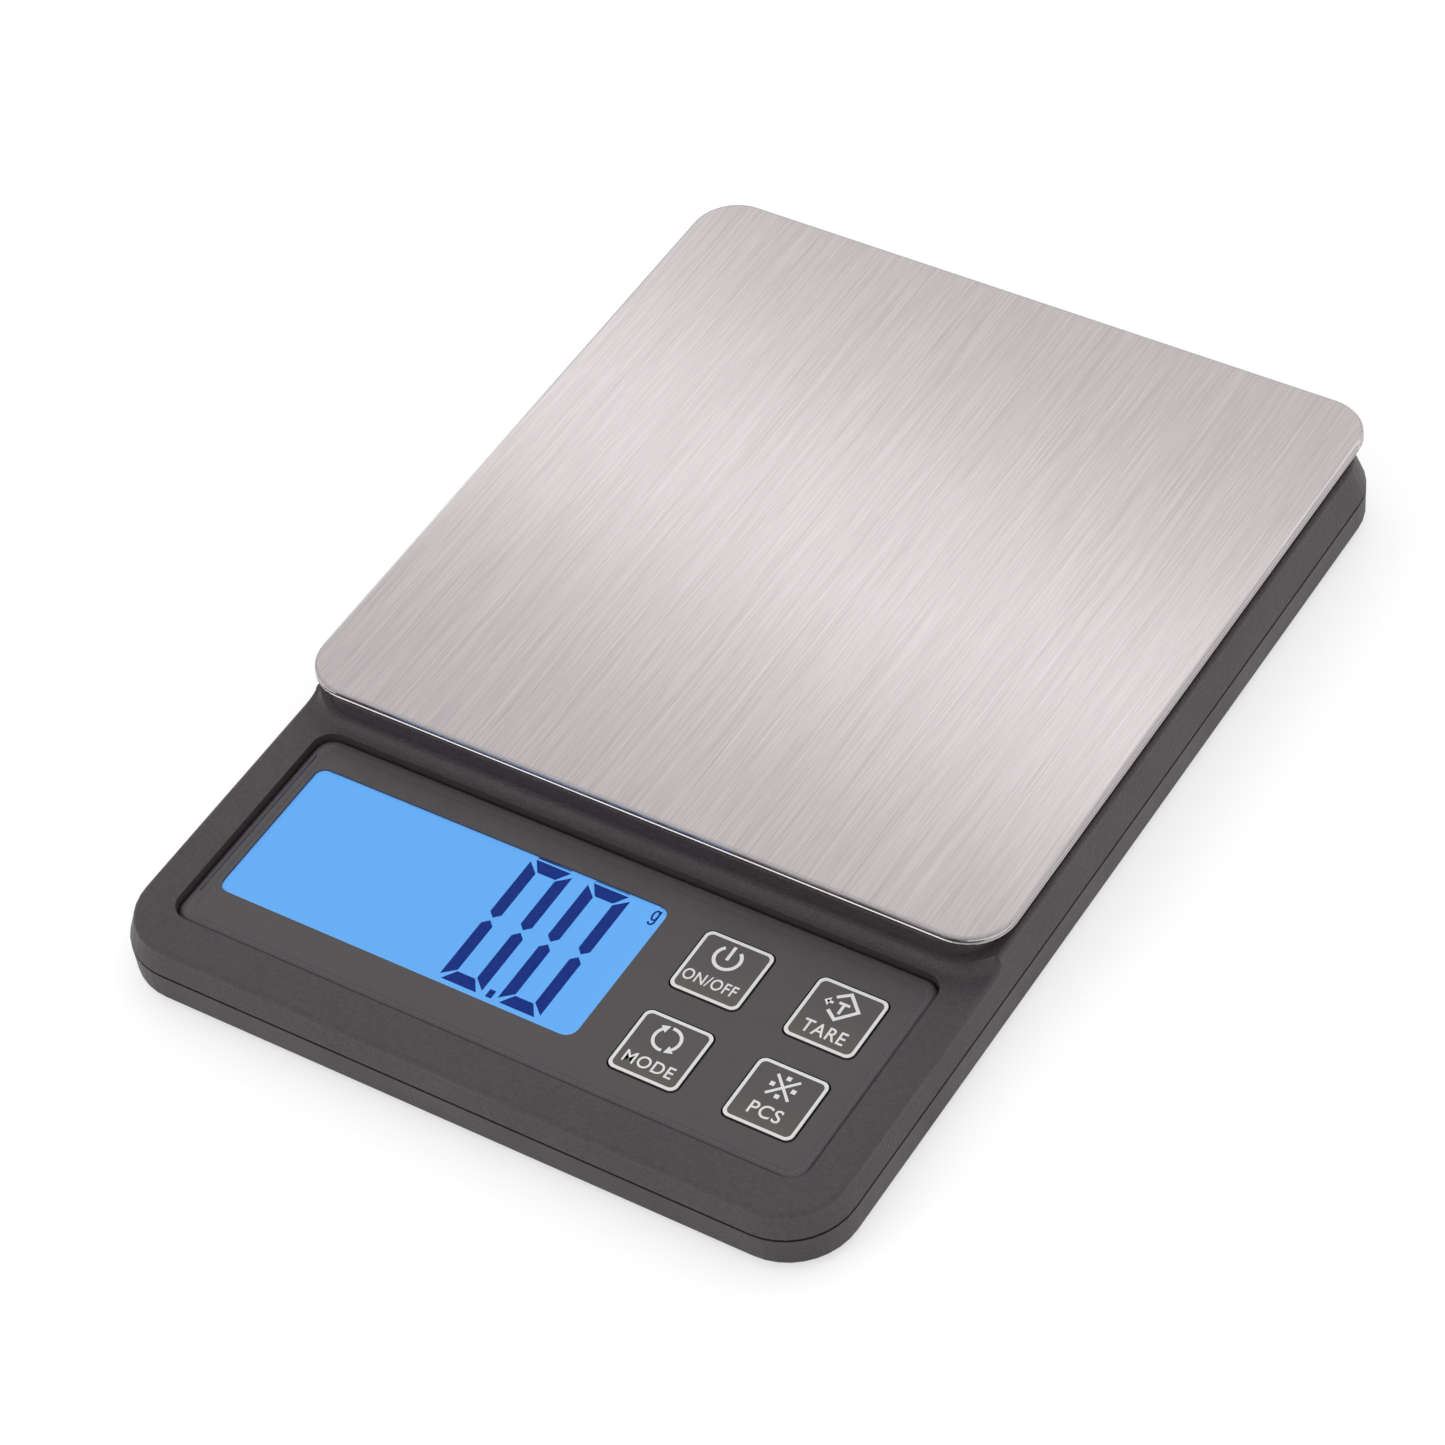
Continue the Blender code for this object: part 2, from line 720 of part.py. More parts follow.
# ---------------------------------------------------------------- weighing plate, tape and carrier
def weighing_plate():
    """A pressed steel tray: flat top, small edge radius and a short skirt ending in a lip."""

    def outline(inset):
        return rounded(
            PLATE_WIDTH - 2 * inset,
            PLATE_LENGTH - 2 * inset,
            PLATE_CORNER - inset,
            (0.0, PLATE_Y),
            10,
        )

    bottom = PLATE_TOP - PLATE_SKIRT
    rings = [
        at_height(outline(PLATE_SHEET), PLATE_BOTTOM),
        at_height(outline(PLATE_SHEET), bottom),
        at_height(outline(0.0), bottom),
        at_height(outline(0.0), bottom + PLATE_HEM / 2),
        at_height(outline(PLATE_WAIST), bottom + PLATE_HEM),
    ]
    for angle in [0.0, *arc(4)]:
        inset = PLATE_EDGE * (1 - math.cos(angle))
        rings.append(at_height(outline(inset), PLATE_TOP - PLATE_EDGE * (1 - math.sin(angle))))
    bm = bmesh.new()
    skin(bm, rings)
    return place("weighing_plate", bm, STEEL)


def carrier_size():
    return PLATE_WIDTH - 2 * CARRIER_MARGIN, PLATE_LENGTH - 2 * CARRIER_MARGIN


def plate_carrier():
    width, length = carrier_size()
    carrier = prism(
        "plate_carrier",
        rounded(width, length, CARRIER_CORNER, (0.0, PLATE_Y)),
        CARRIER_BOTTOM,
        CARRIER_TOP,
        BLACK,
    )
    join(
        carrier,
        prism(
            "carrier_boss",
            rectangle(BEAM_WIDTH, SPACER_LENGTH, beam_end(1)),
            LIVE_SPACER_TOP + SEAT,
            CARRIER_TOP - CARRIER / 2,
        ),
    )
    hole_x = (width / 2 + CARRIER_BAR / 2 - CARRIER_BAR) / 2 + CARRIER_BAR / 4
    window_width = width / 2 - 1.5 * CARRIER_BAR
    window_length = length / 2 - 1.5 * CARRIER_BAR
    hole_y = CARRIER_BAR / 2 + window_length / 2
    windows = [
        rounded(window_width, window_length, CARRIER_CORNER / 2, (sx * hole_x, PLATE_Y + sy * hole_y))
        for sx in (-1, 1)
        for sy in (-1, 1)
    ]
    heads = [circle(POCKET_RADIUS, p) for p in beam_screws(1)]
    ways = [circle(SCREW_HOLE, p, SCREW_SIDES) for p in beam_screws(1)]
    cut(
        carrier,
        prisms("carrier_windows", windows, CARRIER_BOTTOM - CARRIER, CARRIER_TOP + CARRIER),
        prisms("carrier_head_pockets", heads, live_head_bottom() - GAP, CARRIER_TOP + CARRIER),
        prisms("carrier_screw_ways", ways, BEAM_TOP, CARRIER_TOP + CARRIER),
    )
    return carrier


def live_head_bottom():
    return CARRIER_TOP - HEAD - GAP


def tapes():
    width, length = carrier_size()
    for side, name in ((-1, "left"), (1, "right")):
        x = side * (width / 2 - CARRIER_BAR / 2)
        outline = rectangle(TAPE_WIDTH, length - 2 * CARRIER_CORNER, (x, PLATE_Y))
        prism(f"foam_tape_{name}", outline, TAPE_TOP - TAPE, TAPE_TOP, FOAM)


# ---------------------------------------------------------------- load cell
def flexure_outline():
    """The double round hole with a joining slot, in the beam's side plane (along, up)."""
    half_slot = FLEXURE_SLOT / 2
    start = math.asin(half_slot / FLEXURE_RADIUS)
    middle = BEAM_BOTTOM + BEAM_HEIGHT / 2
    points = []
    for side in (1, -1):
        for step in range(21):
            turn = -math.pi + start + (math.tau - 2 * start) * step / 20
            y = side * (FLEXURE_SPACING + FLEXURE_RADIUS * math.cos(turn))
            points.append((BEAM_Y + y, middle + side * FLEXURE_RADIUS * math.sin(turn)))
    return points


def load_cell():
    low = (-BEAM_WIDTH / 2, BEAM_Y - BEAM_LENGTH / 2, BEAM_BOTTOM)
    high = (BEAM_WIDTH / 2, BEAM_Y + BEAM_LENGTH / 2, BEAM_TOP)
    beam = block("load_cell", low, high, ALUMINIUM)
    bm = bmesh.new()
    reach = BEAM_WIDTH
    skin(bm, [[(x, y, z) for y, z in flexure_outline()] for x in (-reach, reach)])
    holes = [circle(SCREW_HOLE, p, SCREW_SIDES) for end in (-1, 1) for p in beam_screws(end)]
    cut(
        beam,
        place("flexure_hole", bm),
        prisms("beam_screw_holes", holes, BEAM_BOTTOM - SPACER, BEAM_TOP + SPACER),
    )
    return beam


def spacers():
    for name, end, bottom in (
        ("spacer_fixed", -1, PEDESTAL_TOP + SEAT),
        ("spacer_live", 1, BEAM_TOP + SEAT),
    ):
        outline = rectangle(BEAM_WIDTH, SPACER_LENGTH, beam_end(end))
        spacer = prism(name, outline, bottom, bottom + SPACER, ZINC)
        holes = [circle(SCREW_HOLE, p, SCREW_SIDES) for p in beam_screws(end)]
        cut(spacer, prisms(f"{name}_holes", holes, bottom - SPACER, bottom + 2 * SPACER))


def gauges():
    for name, bottom in (
        ("strain_gauge_top", BEAM_TOP + SEAT),
        ("strain_gauge_bottom", BEAM_BOTTOM - SEAT - GAUGE),
    ):
        outline = rounded(GAUGE_WIDTH, GAUGE_LENGTH, GAUGE_WIDTH / 4, (0.0, BEAM_Y), 3)
        prism(name, outline, bottom, bottom + GAUGE, GAUGE_RESIN)


# ---------------------------------------------------------------- screws and feet
def screw(name, centre, head_face, head_inner, tip, finish=ZINC):
    """A pan-head screw along Z. head_face is the outside of the head, head_inner its seat side."""
    way = 1 if tip > head_face else -1
    body = turned(
        name,
        [
            (HEAD_RADIUS * 0.8, head_face),
            (HEAD_RADIUS, head_face + way * HEAD * 0.4),
            (HEAD_RADIUS, head_inner),
            (SCREW_RADIUS, head_inner),
            (SCREW_RADIUS, tip - way * SCREW_RADIUS / 2),
            (SCREW_RADIUS / 2, tip),
        ],
        centre,
        finish,
        SCREW_SIDES,
    )
    bm = bmesh.new()
    outer, inner = sorted((head_face - way * SLOT_DEPTH, head_face + way * SLOT_DEPTH))
    long, short = HEAD_RADIUS * 1.1, SLOT_WIDTH / 2
    cross = [
        (short, short),
        (short, long),
        (-short, long),
        (-short, short),
        (-long, short),
        (-long, -short),
        (-short, -short),
        (-short, -long),
        (short, -long),
        (short, -short),
        (long, -short),
        (long, short),
    ]
    outline = [(centre[0] + x, centre[1] + y) for x, y in cross]
    skin(bm, [at_height(outline, outer), at_height(outline, inner)])
    cut(body, place(f"{name}_drive", bm))


def screws():
    for number, place_ in enumerate(CASE_SCREWS):
        screw(f"case_screw_{number + 1}", place_, HEAD_BOTTOM, HEAD_TOP, HEAD_TOP + SCREW_REACH)
    for number, place_ in enumerate(beam_screws(-1)):
        tip = BEAM_TOP - SCREW_RADIUS
        screw(f"cell_screw_fixed_{number + 1}", place_, HEAD_BOTTOM, HEAD_TOP, tip)
    for number, place_ in enumerate(beam_screws(1)):
        bottom = live_head_bottom()
        tip = BEAM_BOTTOM + SCREW_RADIUS
        screw(f"cell_screw_live_{number + 1}", place_, bottom + HEAD, bottom, tip)
    for number, place_ in enumerate(BOARD_SCREWS):
        seat = BOARD_TOP + SEAT
        tip = CASE_BOTTOM + FLOOR / 2 + GAP
        screw(f"board_screw_{number + 1}", place_, seat + HEAD, seat, tip)


def feet():
    for number, place_ in enumerate(FEET):
        top = CASE_BOTTOM + FOOT_SEAT - SEAT
        round_ = FOOT_PROUD / 3
        turned(
            f"foot_{number + 1}",
            [
                (FOOT_RADIUS - round_, 0.0),
                (FOOT_RADIUS - round_ * 0.3, round_ * 0.3),
                (FOOT_RADIUS, round_),
                (FOOT_RADIUS, top),
            ],
            place_,
            RUBBER,
        )


# ---------------------------------------------------------------- control panel
def panel_bezel():
    """The moulded frame in the deck's recess: a soft bevel round a pocket for the film."""
    edge = PANEL_BEVEL
    rings = [
        at_height(panel_outline(PANEL_LINE), BEZEL_BOTTOM),
        at_height(panel_outline(PANEL_LINE), PANEL_TOP - PANEL_BEVEL_DROP),
        at_height(panel_outline(PANEL_LINE + edge * 0.3), PANEL_TOP - PANEL_BEVEL_DROP * 0.35),
        at_height(panel_outline(GAP + edge), PANEL_TOP),
        at_height(panel_outline(GAP + edge + GAP), PANEL_TOP),
        at_height(panel_outline(GAP + edge + GAP), BEZEL_POCKET),
    ]
    bm = bmesh.new()
    skin(bm, rings)
    bezel = place("panel_bezel", bm, CHARCOAL)
    low = BEZEL_BOTTOM - BEZEL
    high = PANEL_TOP + BEZEL
    keys = [
        rounded(KEY_SIZE + 3 * GAP, KEY_SIZE + 3 * GAP, KEY_CORNER, p, 3) for _, p in key_places()
    ]
    cut(
        bezel,
        prism("bezel_lcd_way", lcd_outline(LCD_CLEARANCE), low, high),
        prisms("bezel_key_ways", keys, low, high),
    )


def window_outline(margin):
    return rounded(
        WINDOW_WIDTH + 2 * margin,
        WINDOW_DEPTH + 2 * margin,
        WINDOW_CORNER + margin,
        (WINDOW_X, WINDOW_Y),
        5,
    )


def overlay_panel():
    outline = panel_outline(GAP + PANEL_BEVEL + 2 * GAP)
    film = prism("overlay_panel", outline, PANEL_TOP - OVERLAY, PANEL_TOP, OVERLAY_FILM)
    keys = [
        rounded(KEY_SIZE + 2 * GAP, KEY_SIZE + 2 * GAP, KEY_CORNER + GAP, p, 5)
        for _, p in key_places()
    ]
    low = PANEL_TOP - 2 * OVERLAY
    high = PANEL_TOP + OVERLAY
    cut(
        film,
        prism("film_window_way", window_outline(GAP), low, high),
        prisms("film_key_ways", keys, low, high),
    )


def display():
    prism("display_window", window_outline(0.0), PANEL_TOP - OVERLAY, PANEL_TOP, CLEAR)
    prism("lcd_glass", lcd_outline(0.0), LCD_BOTTOM, LCD_TOP, LCD_BLUE)
    strip_depth = CONTACT_STRIP + 2 * GAP
    light_depth = LCD_DEPTH - strip_depth
    light_y = WINDOW_Y + strip_depth / 2
    outline = rectangle(LCD_WIDTH, light_depth, (WINDOW_X, light_y))
    top = LCD_BOTTOM - GAP
    prism("lcd_backlight", outline, BOARD_TOP + GAP, top, DIFFUSER)
    strip_y = WINDOW_Y - LCD_DEPTH / 2 + CONTACT_STRIP / 2
    strip = rectangle(LCD_WIDTH - 2 * CONTACT_STRIP, CONTACT_STRIP, (WINDOW_X, strip_y))
    prism("lcd_contact_strip", strip, BOARD_TOP + GAP, top, RUBBER)


def key(name, centre):
    """A key cap with its stem, the switch under it and the switch's plunger."""
    top = PANEL_TOP + KEY_PROUD
    cap_bottom = top - KEY_CAP
    switch_bottom = BOARD_TOP + GAP
    plunger_top = SWITCH_TOP + PLUNGER_PROUD
    cap = prism(
        f"key_{name}", rounded(KEY_SIZE, KEY_SIZE, KEY_CORNER, centre, 5), cap_bottom, top, KEY_FILM
    )
    stem = prism(
        f"key_{name}_stem", circle(STEM_RADIUS, centre), plunger_top + GAP, top - KEY_CAP / 2
    )
    join(cap, stem)
    square = rounded(SWITCH_SIZE, SWITCH_SIZE, SWITCH_SIZE / 12, centre, 2)
    switch = prism(f"switch_{name}", square, switch_bottom, SWITCH_TOP, BLACK)
    socket_floor = SWITCH_TOP - PLUNGER_DEPTH - KEY_TRAVEL - GAP / 2
    socket = prism(
        f"switch_{name}_socket",
        circle(PLUNGER_RADIUS + GAP, centre),
        socket_floor,
        SWITCH_TOP + GAP,
    )
    cut(switch, socket)
    plunger = circle(PLUNGER_RADIUS, centre)
    prism(f"plunger_{name}", plunger, SWITCH_TOP - PLUNGER_DEPTH, plunger_top, RUBBER)


def main_board():
    outline = rounded(BOARD_WIDTH, BOARD_DEPTH, 0.001, (0.0, BOARD_Y), 2)
    board = prism("main_board", outline, BOARD_BOTTOM, BOARD_TOP, BOARD_GREEN)
    holes = [circle(SCREW_HOLE, p, SCREW_SIDES) for p in BOARD_SCREWS]
    cut(board, prisms("board_holes", holes, BOARD_BOTTOM - BOARD, BOARD_TOP + BOARD))
    bottom = BOARD_TOP + GAP
    profile = [
        (CHIP_RADIUS * math.cos(turn), bottom + CHIP_HEIGHT * math.sin(turn))
        for turn in (0.0, 0.35, 0.75, 1.2)
    ]
    turned("controller_chip", profile, CHIP_PLACE, BLACK, 20)


# ---------------------------------------------------------------- batteries
def along_x(name, profile, centre, finish, steps=24):
    """A solid of circles along X: profile holds (x, radius), centre is (y, z)."""
    bm = bmesh.new()
    rings = []
    for x, radius in profile:
        rings.append([(x, y, z) for y, z in circle(radius, centre, steps)])
    skin(bm, rings)
    return place(name, bm, finish)


def batteries():
    for number, side in enumerate((-1, 1)):
        half = CELL_LENGTH / 2
        tip = half + CELL_TIP
        soft = CELL_RADIUS * 0.94
        profile = [
            (-half, soft),
            (-half + CELL_RADIUS * 0.06, CELL_RADIUS),
            (half - CELL_RADIUS * 0.06, CELL_RADIUS),
            (half, soft),
            (half, CELL_TIP_RADIUS),
            (tip, CELL_TIP_RADIUS),
        ]
        # the two cells lie opposite ways round
        way = [(BAY_X - side * x, radius) for x, radius in profile]
        along_x(f"battery_{number + 1}", way, (BAY_Y + side * CELL_PITCH / 2, CELL_Z), CELL_SLEEVE)


def contact_plate(name, x, y, width):
    """An upright nickel plate against one end of the bay."""
    low = (x - CONTACT / 2, y - width / 2, CELL_Z - CONTACT_HEIGHT / 2)
    high = (x + CONTACT / 2, y + width / 2, CELL_Z + CONTACT_HEIGHT / 2)
    return block(name, low, high, NICKEL)


def conical_spring(name, x_wide, x_narrow, centre, turns=3.0):
    """A battery spring: a wire cone from its plate to the battery's flat end."""
    wire = CONTACT / 2
    curve = bpy.data.curves.new(name, "CURVE")
    curve.dimensions = "3D"
    curve.bevel_depth = wire
    curve.bevel_resolution = 1
    curve.use_fill_caps = True
    count = int(turns * 10) + 1
    line = curve.splines.new("POLY")
    line.points.add(count - 1)
    wide = CELL_RADIUS * 0.62
    narrow = CELL_RADIUS * 0.36
    for step in range(count):
        share = step / (count - 1)
        radius = wide + (narrow - wide) * share
        turn = math.tau * turns * share
        x = x_wide + (x_narrow - x_wide) * share
        y = centre[0] + radius * math.cos(turn)
        z = centre[1] + radius * math.sin(turn)
        line.points[step].co = (x, y, z, 1.0)
    curve.materials.append(NICKEL)
    made = bpy.data.objects.new(name, curve)
    bpy.context.scene.collection.objects.link(made)
    return made


def contacts():
    """At +X one plate bridges both cells; at -X each cell has its own plate. Flat ends meet a spring."""
    end = CELL_LENGTH / 2
    plate = BAY_HALF_X - CONTACT / 2 - GAP
    width = CELL_RADIUS * 1.5
    contact_plate("contact_bridge", BAY_X + plate, BAY_Y, CELL_PITCH + width)
    contact_plate("contact_positive", BAY_X - plate, BAY_Y + CELL_PITCH / 2, width)
    contact_plate("contact_negative", BAY_X - plate, BAY_Y - CELL_PITCH / 2, width)
    face = plate - CONTACT / 2 - GAP - CONTACT / 2
    flat = end + GAP + CONTACT / 2
    conical_spring(
        "spring_negative", BAY_X - face, BAY_X - flat, (BAY_Y - CELL_PITCH / 2, CELL_Z)
    )
    conical_spring("spring_bridge", BAY_X + face, BAY_X + flat, (BAY_Y + CELL_PITCH / 2, CELL_Z))


def battery_door():
    """A flush cover with a thumb groove and two locating ribs inside the bay's opening."""
    width = 2 * (BAY_HALF_X - GAP)
    depth = 2 * (BAY_HALF_Y - GAP)
    outline = rectangle(width, depth, (BAY_X, BAY_Y))
    door = prism("battery_door", outline, CASE_BOTTOM, CASE_BOTTOM + DOOR, CHARCOAL)
    rib_x = BAY_HALF_X - GAP - DOOR_RIB / 2
    ribs = [
        rectangle(DOOR_RIB, depth * 0.4, (BAY_X + side * rib_x, BAY_Y)) for side in (-1, 1)
    ]
    top = CASE_BOTTOM + DOOR + DOOR_RIB
    join(door, prisms("door_ribs", ribs, CASE_BOTTOM + DOOR / 2, top))
    grooves = [
        rectangle(DOOR_RIB / 2, depth * 0.45, (BAY_X + BAY_HALF_X * 0.72 + step * DOOR_RIB * 1.4, BAY_Y))
        for step in range(5)
    ]
    cut(door, prisms("door_grooves", grooves, CASE_BOTTOM - DOOR, CASE_BOTTOM + DOOR / 3))


# ---------------------------------------------------------------- wires
def smooth_route(points, spacing):
    """Evenly spaced points on a Catmull-Rom curve through the route's own points."""
    ends = [2 * points[0] - points[1], *points, 2 * points[-1] - points[-2]]
    fine = []
    for a, b, c, d in zip(ends, ends[1:], ends[2:], ends[3:]):
        for step in range(24):
            t = step / 24
            fine.append(
                0.5
                * (
                    2 * b
                    + (c - a) * t
                    + (2 * a - 5 * b + 4 * c - d) * t**2
                    + (3 * b - a - 3 * c + d) * t**3
                )
            )
    fine.append(points[-1])
    length = sum((q - p).length for p, q in zip(fine, fine[1:]))
    count = max(4, round(length / spacing))
    even = [fine[0]]
    walked = 0.0
    for p, q in zip(fine, fine[1:]):
        walked += (q - p).length
        if walked >= length * len(even) / count and len(even) < count:
            even.append(q)
    even.append(fine[-1])
    return even


def wire(name, points, diameter, finish):
    route = smooth_route([Vector(point) for point in points], diameter * 3)
    curve = bpy.data.curves.new(name, "CURVE")
    curve.dimensions = "3D"
    curve.bevel_depth = diameter / 2
    curve.bevel_resolution = 2
    curve.use_fill_caps = True
    line = curve.splines.new("POLY")
    line.points.add(len(route) - 1)
    for target, point in zip(line.points, route):
        target.co = (*point, 1.0)
    curve.materials.append(finish)
    made = bpy.data.objects.new(name, curve)
    bpy.context.scene.collection.objects.link(made)


def cell_wires():
    """From the beam's side at its middle, round the battery bay, onto the board's back edge."""
    beside_bay = BAY_X + BAY_HALF_X + BAY_WALL
    floor = FLOOR_TOP + 2 * GAP + CELL_WIRE / 2
    board = BOARD_TOP + GAP + CELL_WIRE / 2
    board_back = BOARD_Y + BOARD_DEPTH / 2
    for number, colour in enumerate(("red", "black", "green", "white")):
        shift = number * WIRE_PITCH
        lane = beside_bay + 0.003 + shift
        points = [
            (BEAM_WIDTH / 2 + 2 * GAP, BEAM_Y - 0.002 + shift, BEAM_BOTTOM + BEAM_HEIGHT / 2),
            (BEAM_WIDTH / 2 + 0.004, BEAM_Y - 0.003 + shift, BEAM_BOTTOM + BEAM_HEIGHT / 3),
            (lane * 0.55, BEAM_Y - 0.006 + shift, floor + 0.0006),
            (lane * 0.93, BEAM_Y - 0.015 + shift, floor),
            (lane, BAY_Y + 0.012, floor),
            (lane, BAY_Y - 0.008, floor),
            (lane - 0.0005, board_back + 0.008, floor),
            (lane - 0.001, board_back + 0.0025, (floor + board) / 2 + 0.0012),
            (lane - 0.001, board_back - 0.0015, board + 0.0002),
            (lane - 0.001, board_back - 0.0035, board),
        ]
        wire(f"cell_wire_{colour}", points, CELL_WIRE, WIRE_COLOURS[colour])


def battery_wires():
    """From the two plates at the bay's -X end, through the wall's notches, down and onto the board."""
    wall = BAY_X - BAY_HALF_X - BAY_WALL
    floor = FLOOR_TOP + 2 * GAP + BATTERY_WIRE / 2
    board = BOARD_TOP + GAP + BATTERY_WIRE / 2
    board_back = BOARD_Y + BOARD_DEPTH / 2
    contact_x = BAY_X - BAY_HALF_X + CONTACT + 2 * GAP + BATTERY_WIRE
    for colour, side in (("red", 1), ("black", -1)):
        y = BAY_Y + side * CELL_PITCH / 2
        lane = wall - 0.0035 - (0.5 + side / 2) * 2 * WIRE_PITCH
        points = [
            (contact_x, y, LEAD_Z),
            (wall, y, LEAD_Z),
            (wall - 0.002, y, LEAD_Z - 0.002),
            (lane, y - 0.003, floor + 0.002),
            (lane, y - 0.007, floor),
            (lane, board_back + 0.009, floor),
            (lane, board_back + 0.0035, (floor + board) / 2 + 0.0012),
            (lane, board_back + 0.0003, board + 0.0003),
            (lane, board_back - 0.0018, board + 0.0001),
        ]
        wire(f"battery_wire_{colour}", points, BATTERY_WIRE, WIRE_COLOURS[colour])


# ---------------------------------------------------------------- the whole scale
base_shell()
top_shell()
weighing_plate()
plate_carrier()
tapes()
load_cell()
spacers()
gauges()
screws()
feet()
panel_bezel()
overlay_panel()
display()
for key_name, key_place in key_places():
    key(key_name, key_place)
main_board()
batteries()
contacts()
battery_door()
cell_wires()
battery_wires()
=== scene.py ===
"""Looks of the digital gram scale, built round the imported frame.

Metres, +Z up. -Y is the display's end.
"""

import math

import bmesh
import bpy
from mathutils import Matrix, Vector


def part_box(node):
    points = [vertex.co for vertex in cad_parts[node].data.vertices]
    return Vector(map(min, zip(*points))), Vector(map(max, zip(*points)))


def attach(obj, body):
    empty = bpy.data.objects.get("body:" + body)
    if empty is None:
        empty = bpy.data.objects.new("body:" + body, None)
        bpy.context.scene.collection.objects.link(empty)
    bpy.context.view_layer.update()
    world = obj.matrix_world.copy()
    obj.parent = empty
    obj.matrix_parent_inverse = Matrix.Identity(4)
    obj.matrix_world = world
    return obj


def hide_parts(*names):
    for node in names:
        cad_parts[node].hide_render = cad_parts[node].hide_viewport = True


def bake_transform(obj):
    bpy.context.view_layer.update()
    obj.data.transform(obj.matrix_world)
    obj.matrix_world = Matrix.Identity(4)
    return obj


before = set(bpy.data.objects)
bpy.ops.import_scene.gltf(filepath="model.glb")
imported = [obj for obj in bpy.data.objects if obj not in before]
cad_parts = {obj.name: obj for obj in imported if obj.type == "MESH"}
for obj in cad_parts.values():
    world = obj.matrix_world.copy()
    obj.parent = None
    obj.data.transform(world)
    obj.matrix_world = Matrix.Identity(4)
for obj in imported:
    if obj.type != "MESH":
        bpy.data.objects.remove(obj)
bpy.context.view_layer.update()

# ---------------------------------------------------------------- camera
CAMERA_AT = Vector((0.3254, -0.4312, 0.5750))
CAMERA_AIM = Vector((0.00074, -0.01294, 0.0145))
CAMERA_ROLL = math.radians(-8.25)
CAMERA_LENS = 119.9
CAMERA_SENSOR = 36.0
CAMERA_CLIP = (0.01, 20.0)


def make_camera():
    data = bpy.data.cameras.new("camera")
    data.lens = CAMERA_LENS
    data.sensor_width = CAMERA_SENSOR
    data.clip_start, data.clip_end = CAMERA_CLIP
    camera = bpy.data.objects.new("camera", data)
    bpy.context.scene.collection.objects.link(camera)
    turn = (CAMERA_AIM - CAMERA_AT).to_track_quat("-Z", "Y").to_matrix()
    roll = Matrix.Rotation(CAMERA_ROLL, 3, "Z")
    camera.matrix_world = Matrix.Translation(CAMERA_AT) @ (turn @ roll).to_4x4()
    bpy.context.scene.camera = camera


# ---------------------------------------------------------------- light and floor
WORLD_GLOW = 0.93  # overhead, and LOW_GLOW near the horizon
LOW_GLOW = 0.55
FULL_GLOW_HEIGHT = 0.5  # the height of the direction from which the glow is full
FRONT_SHARE = 0.62  # the tent is dimmer on the display's side
BACK_SHARE = 1.12
TENT_TINT = (1.0, 0.99, 1.0, 1.0)
BAND_WAY = (-0.134, 0.991, 0.0)  # across the strip of light that the brushed plate shows
BAND_AT = 0.628
BAND_SPREAD = 0.023
BAND_GLOW = 0.80
WINDOW_WAY = (-0.42, -0.70, 0.515)  # toward the small light that lines the plate's near edge
WINDOW_SPREAD = 0.020
WINDOW_GLOW = 3.2
FLOOR_HALF = 4.0
FLOOR_SHADE = 0.62
FLOOR_GLOW = 0.56  # the paper's own light, which keeps it pale right up to the object


def maths(tree, operation, first, second=None):
    """One sum on sockets or numbers, as an output socket."""
    step = tree.nodes.new("ShaderNodeMath")
    step.operation = operation
    for socket, value in zip(step.inputs, (first, second)):
        if isinstance(value, bpy.types.NodeSocket):
            tree.links.new(value, socket)
        elif value is not None:
            socket.default_value = value
    return step.outputs["Value"]


def fade(tree, distance):
    """1 where the distance is nought, falling off softly as it grows, as an output socket."""
    return maths(tree, "EXPONENT", maths(tree, "MULTIPLY", distance, -1.0))


def facing(tree, way, aim):
    """How far a direction points along the aim, as an output socket."""
    product = tree.nodes.new("ShaderNodeVectorMath")
    product.operation = "DOT_PRODUCT"
    product.inputs[1].default_value = aim
    tree.links.new(way, product.inputs[0])
    return product.outputs["Value"]


def studio_world():
    """A white tent with a strip of light overhead and a small light in front, both soft-edged."""
    world = bpy.data.worlds.new("studio")
    world.use_nodes = True
    tree = world.node_tree
    way = tree.nodes.new("ShaderNodeTexCoord").outputs["Generated"]
    off = maths(tree, "SUBTRACT", facing(tree, way, BAND_WAY), BAND_AT)
    off = maths(tree, "DIVIDE", off, BAND_SPREAD)
    band = fade(tree, maths(tree, "MULTIPLY", off, off))
    away = maths(tree, "SUBTRACT", 1.0, facing(tree, way, Vector(WINDOW_WAY).normalized()))
    window = fade(tree, maths(tree, "DIVIDE", away, WINDOW_SPREAD))
    parts = tree.nodes.new("ShaderNodeSeparateXYZ")
    tree.links.new(way, parts.inputs["Vector"])
    height = remap(tree, parts.outputs["Z"], LOW_GLOW, WORLD_GLOW, (0.0, FULL_GLOW_HEIGHT))
    depth = remap(tree, parts.outputs["Y"], FRONT_SHARE, BACK_SHARE, (-1.0, 1.0))
    tent = maths(tree, "MULTIPLY", height, depth)
    glow = maths(tree, "ADD", maths(tree, "MULTIPLY", band, BAND_GLOW), tent)
    glow = maths(tree, "ADD", glow, maths(tree, "MULTIPLY", window, WINDOW_GLOW))
    backdrop = tree.nodes["Background"]
    backdrop.inputs["Color"].default_value = TENT_TINT
    tree.links.new(glow, backdrop.inputs["Strength"])
    return world


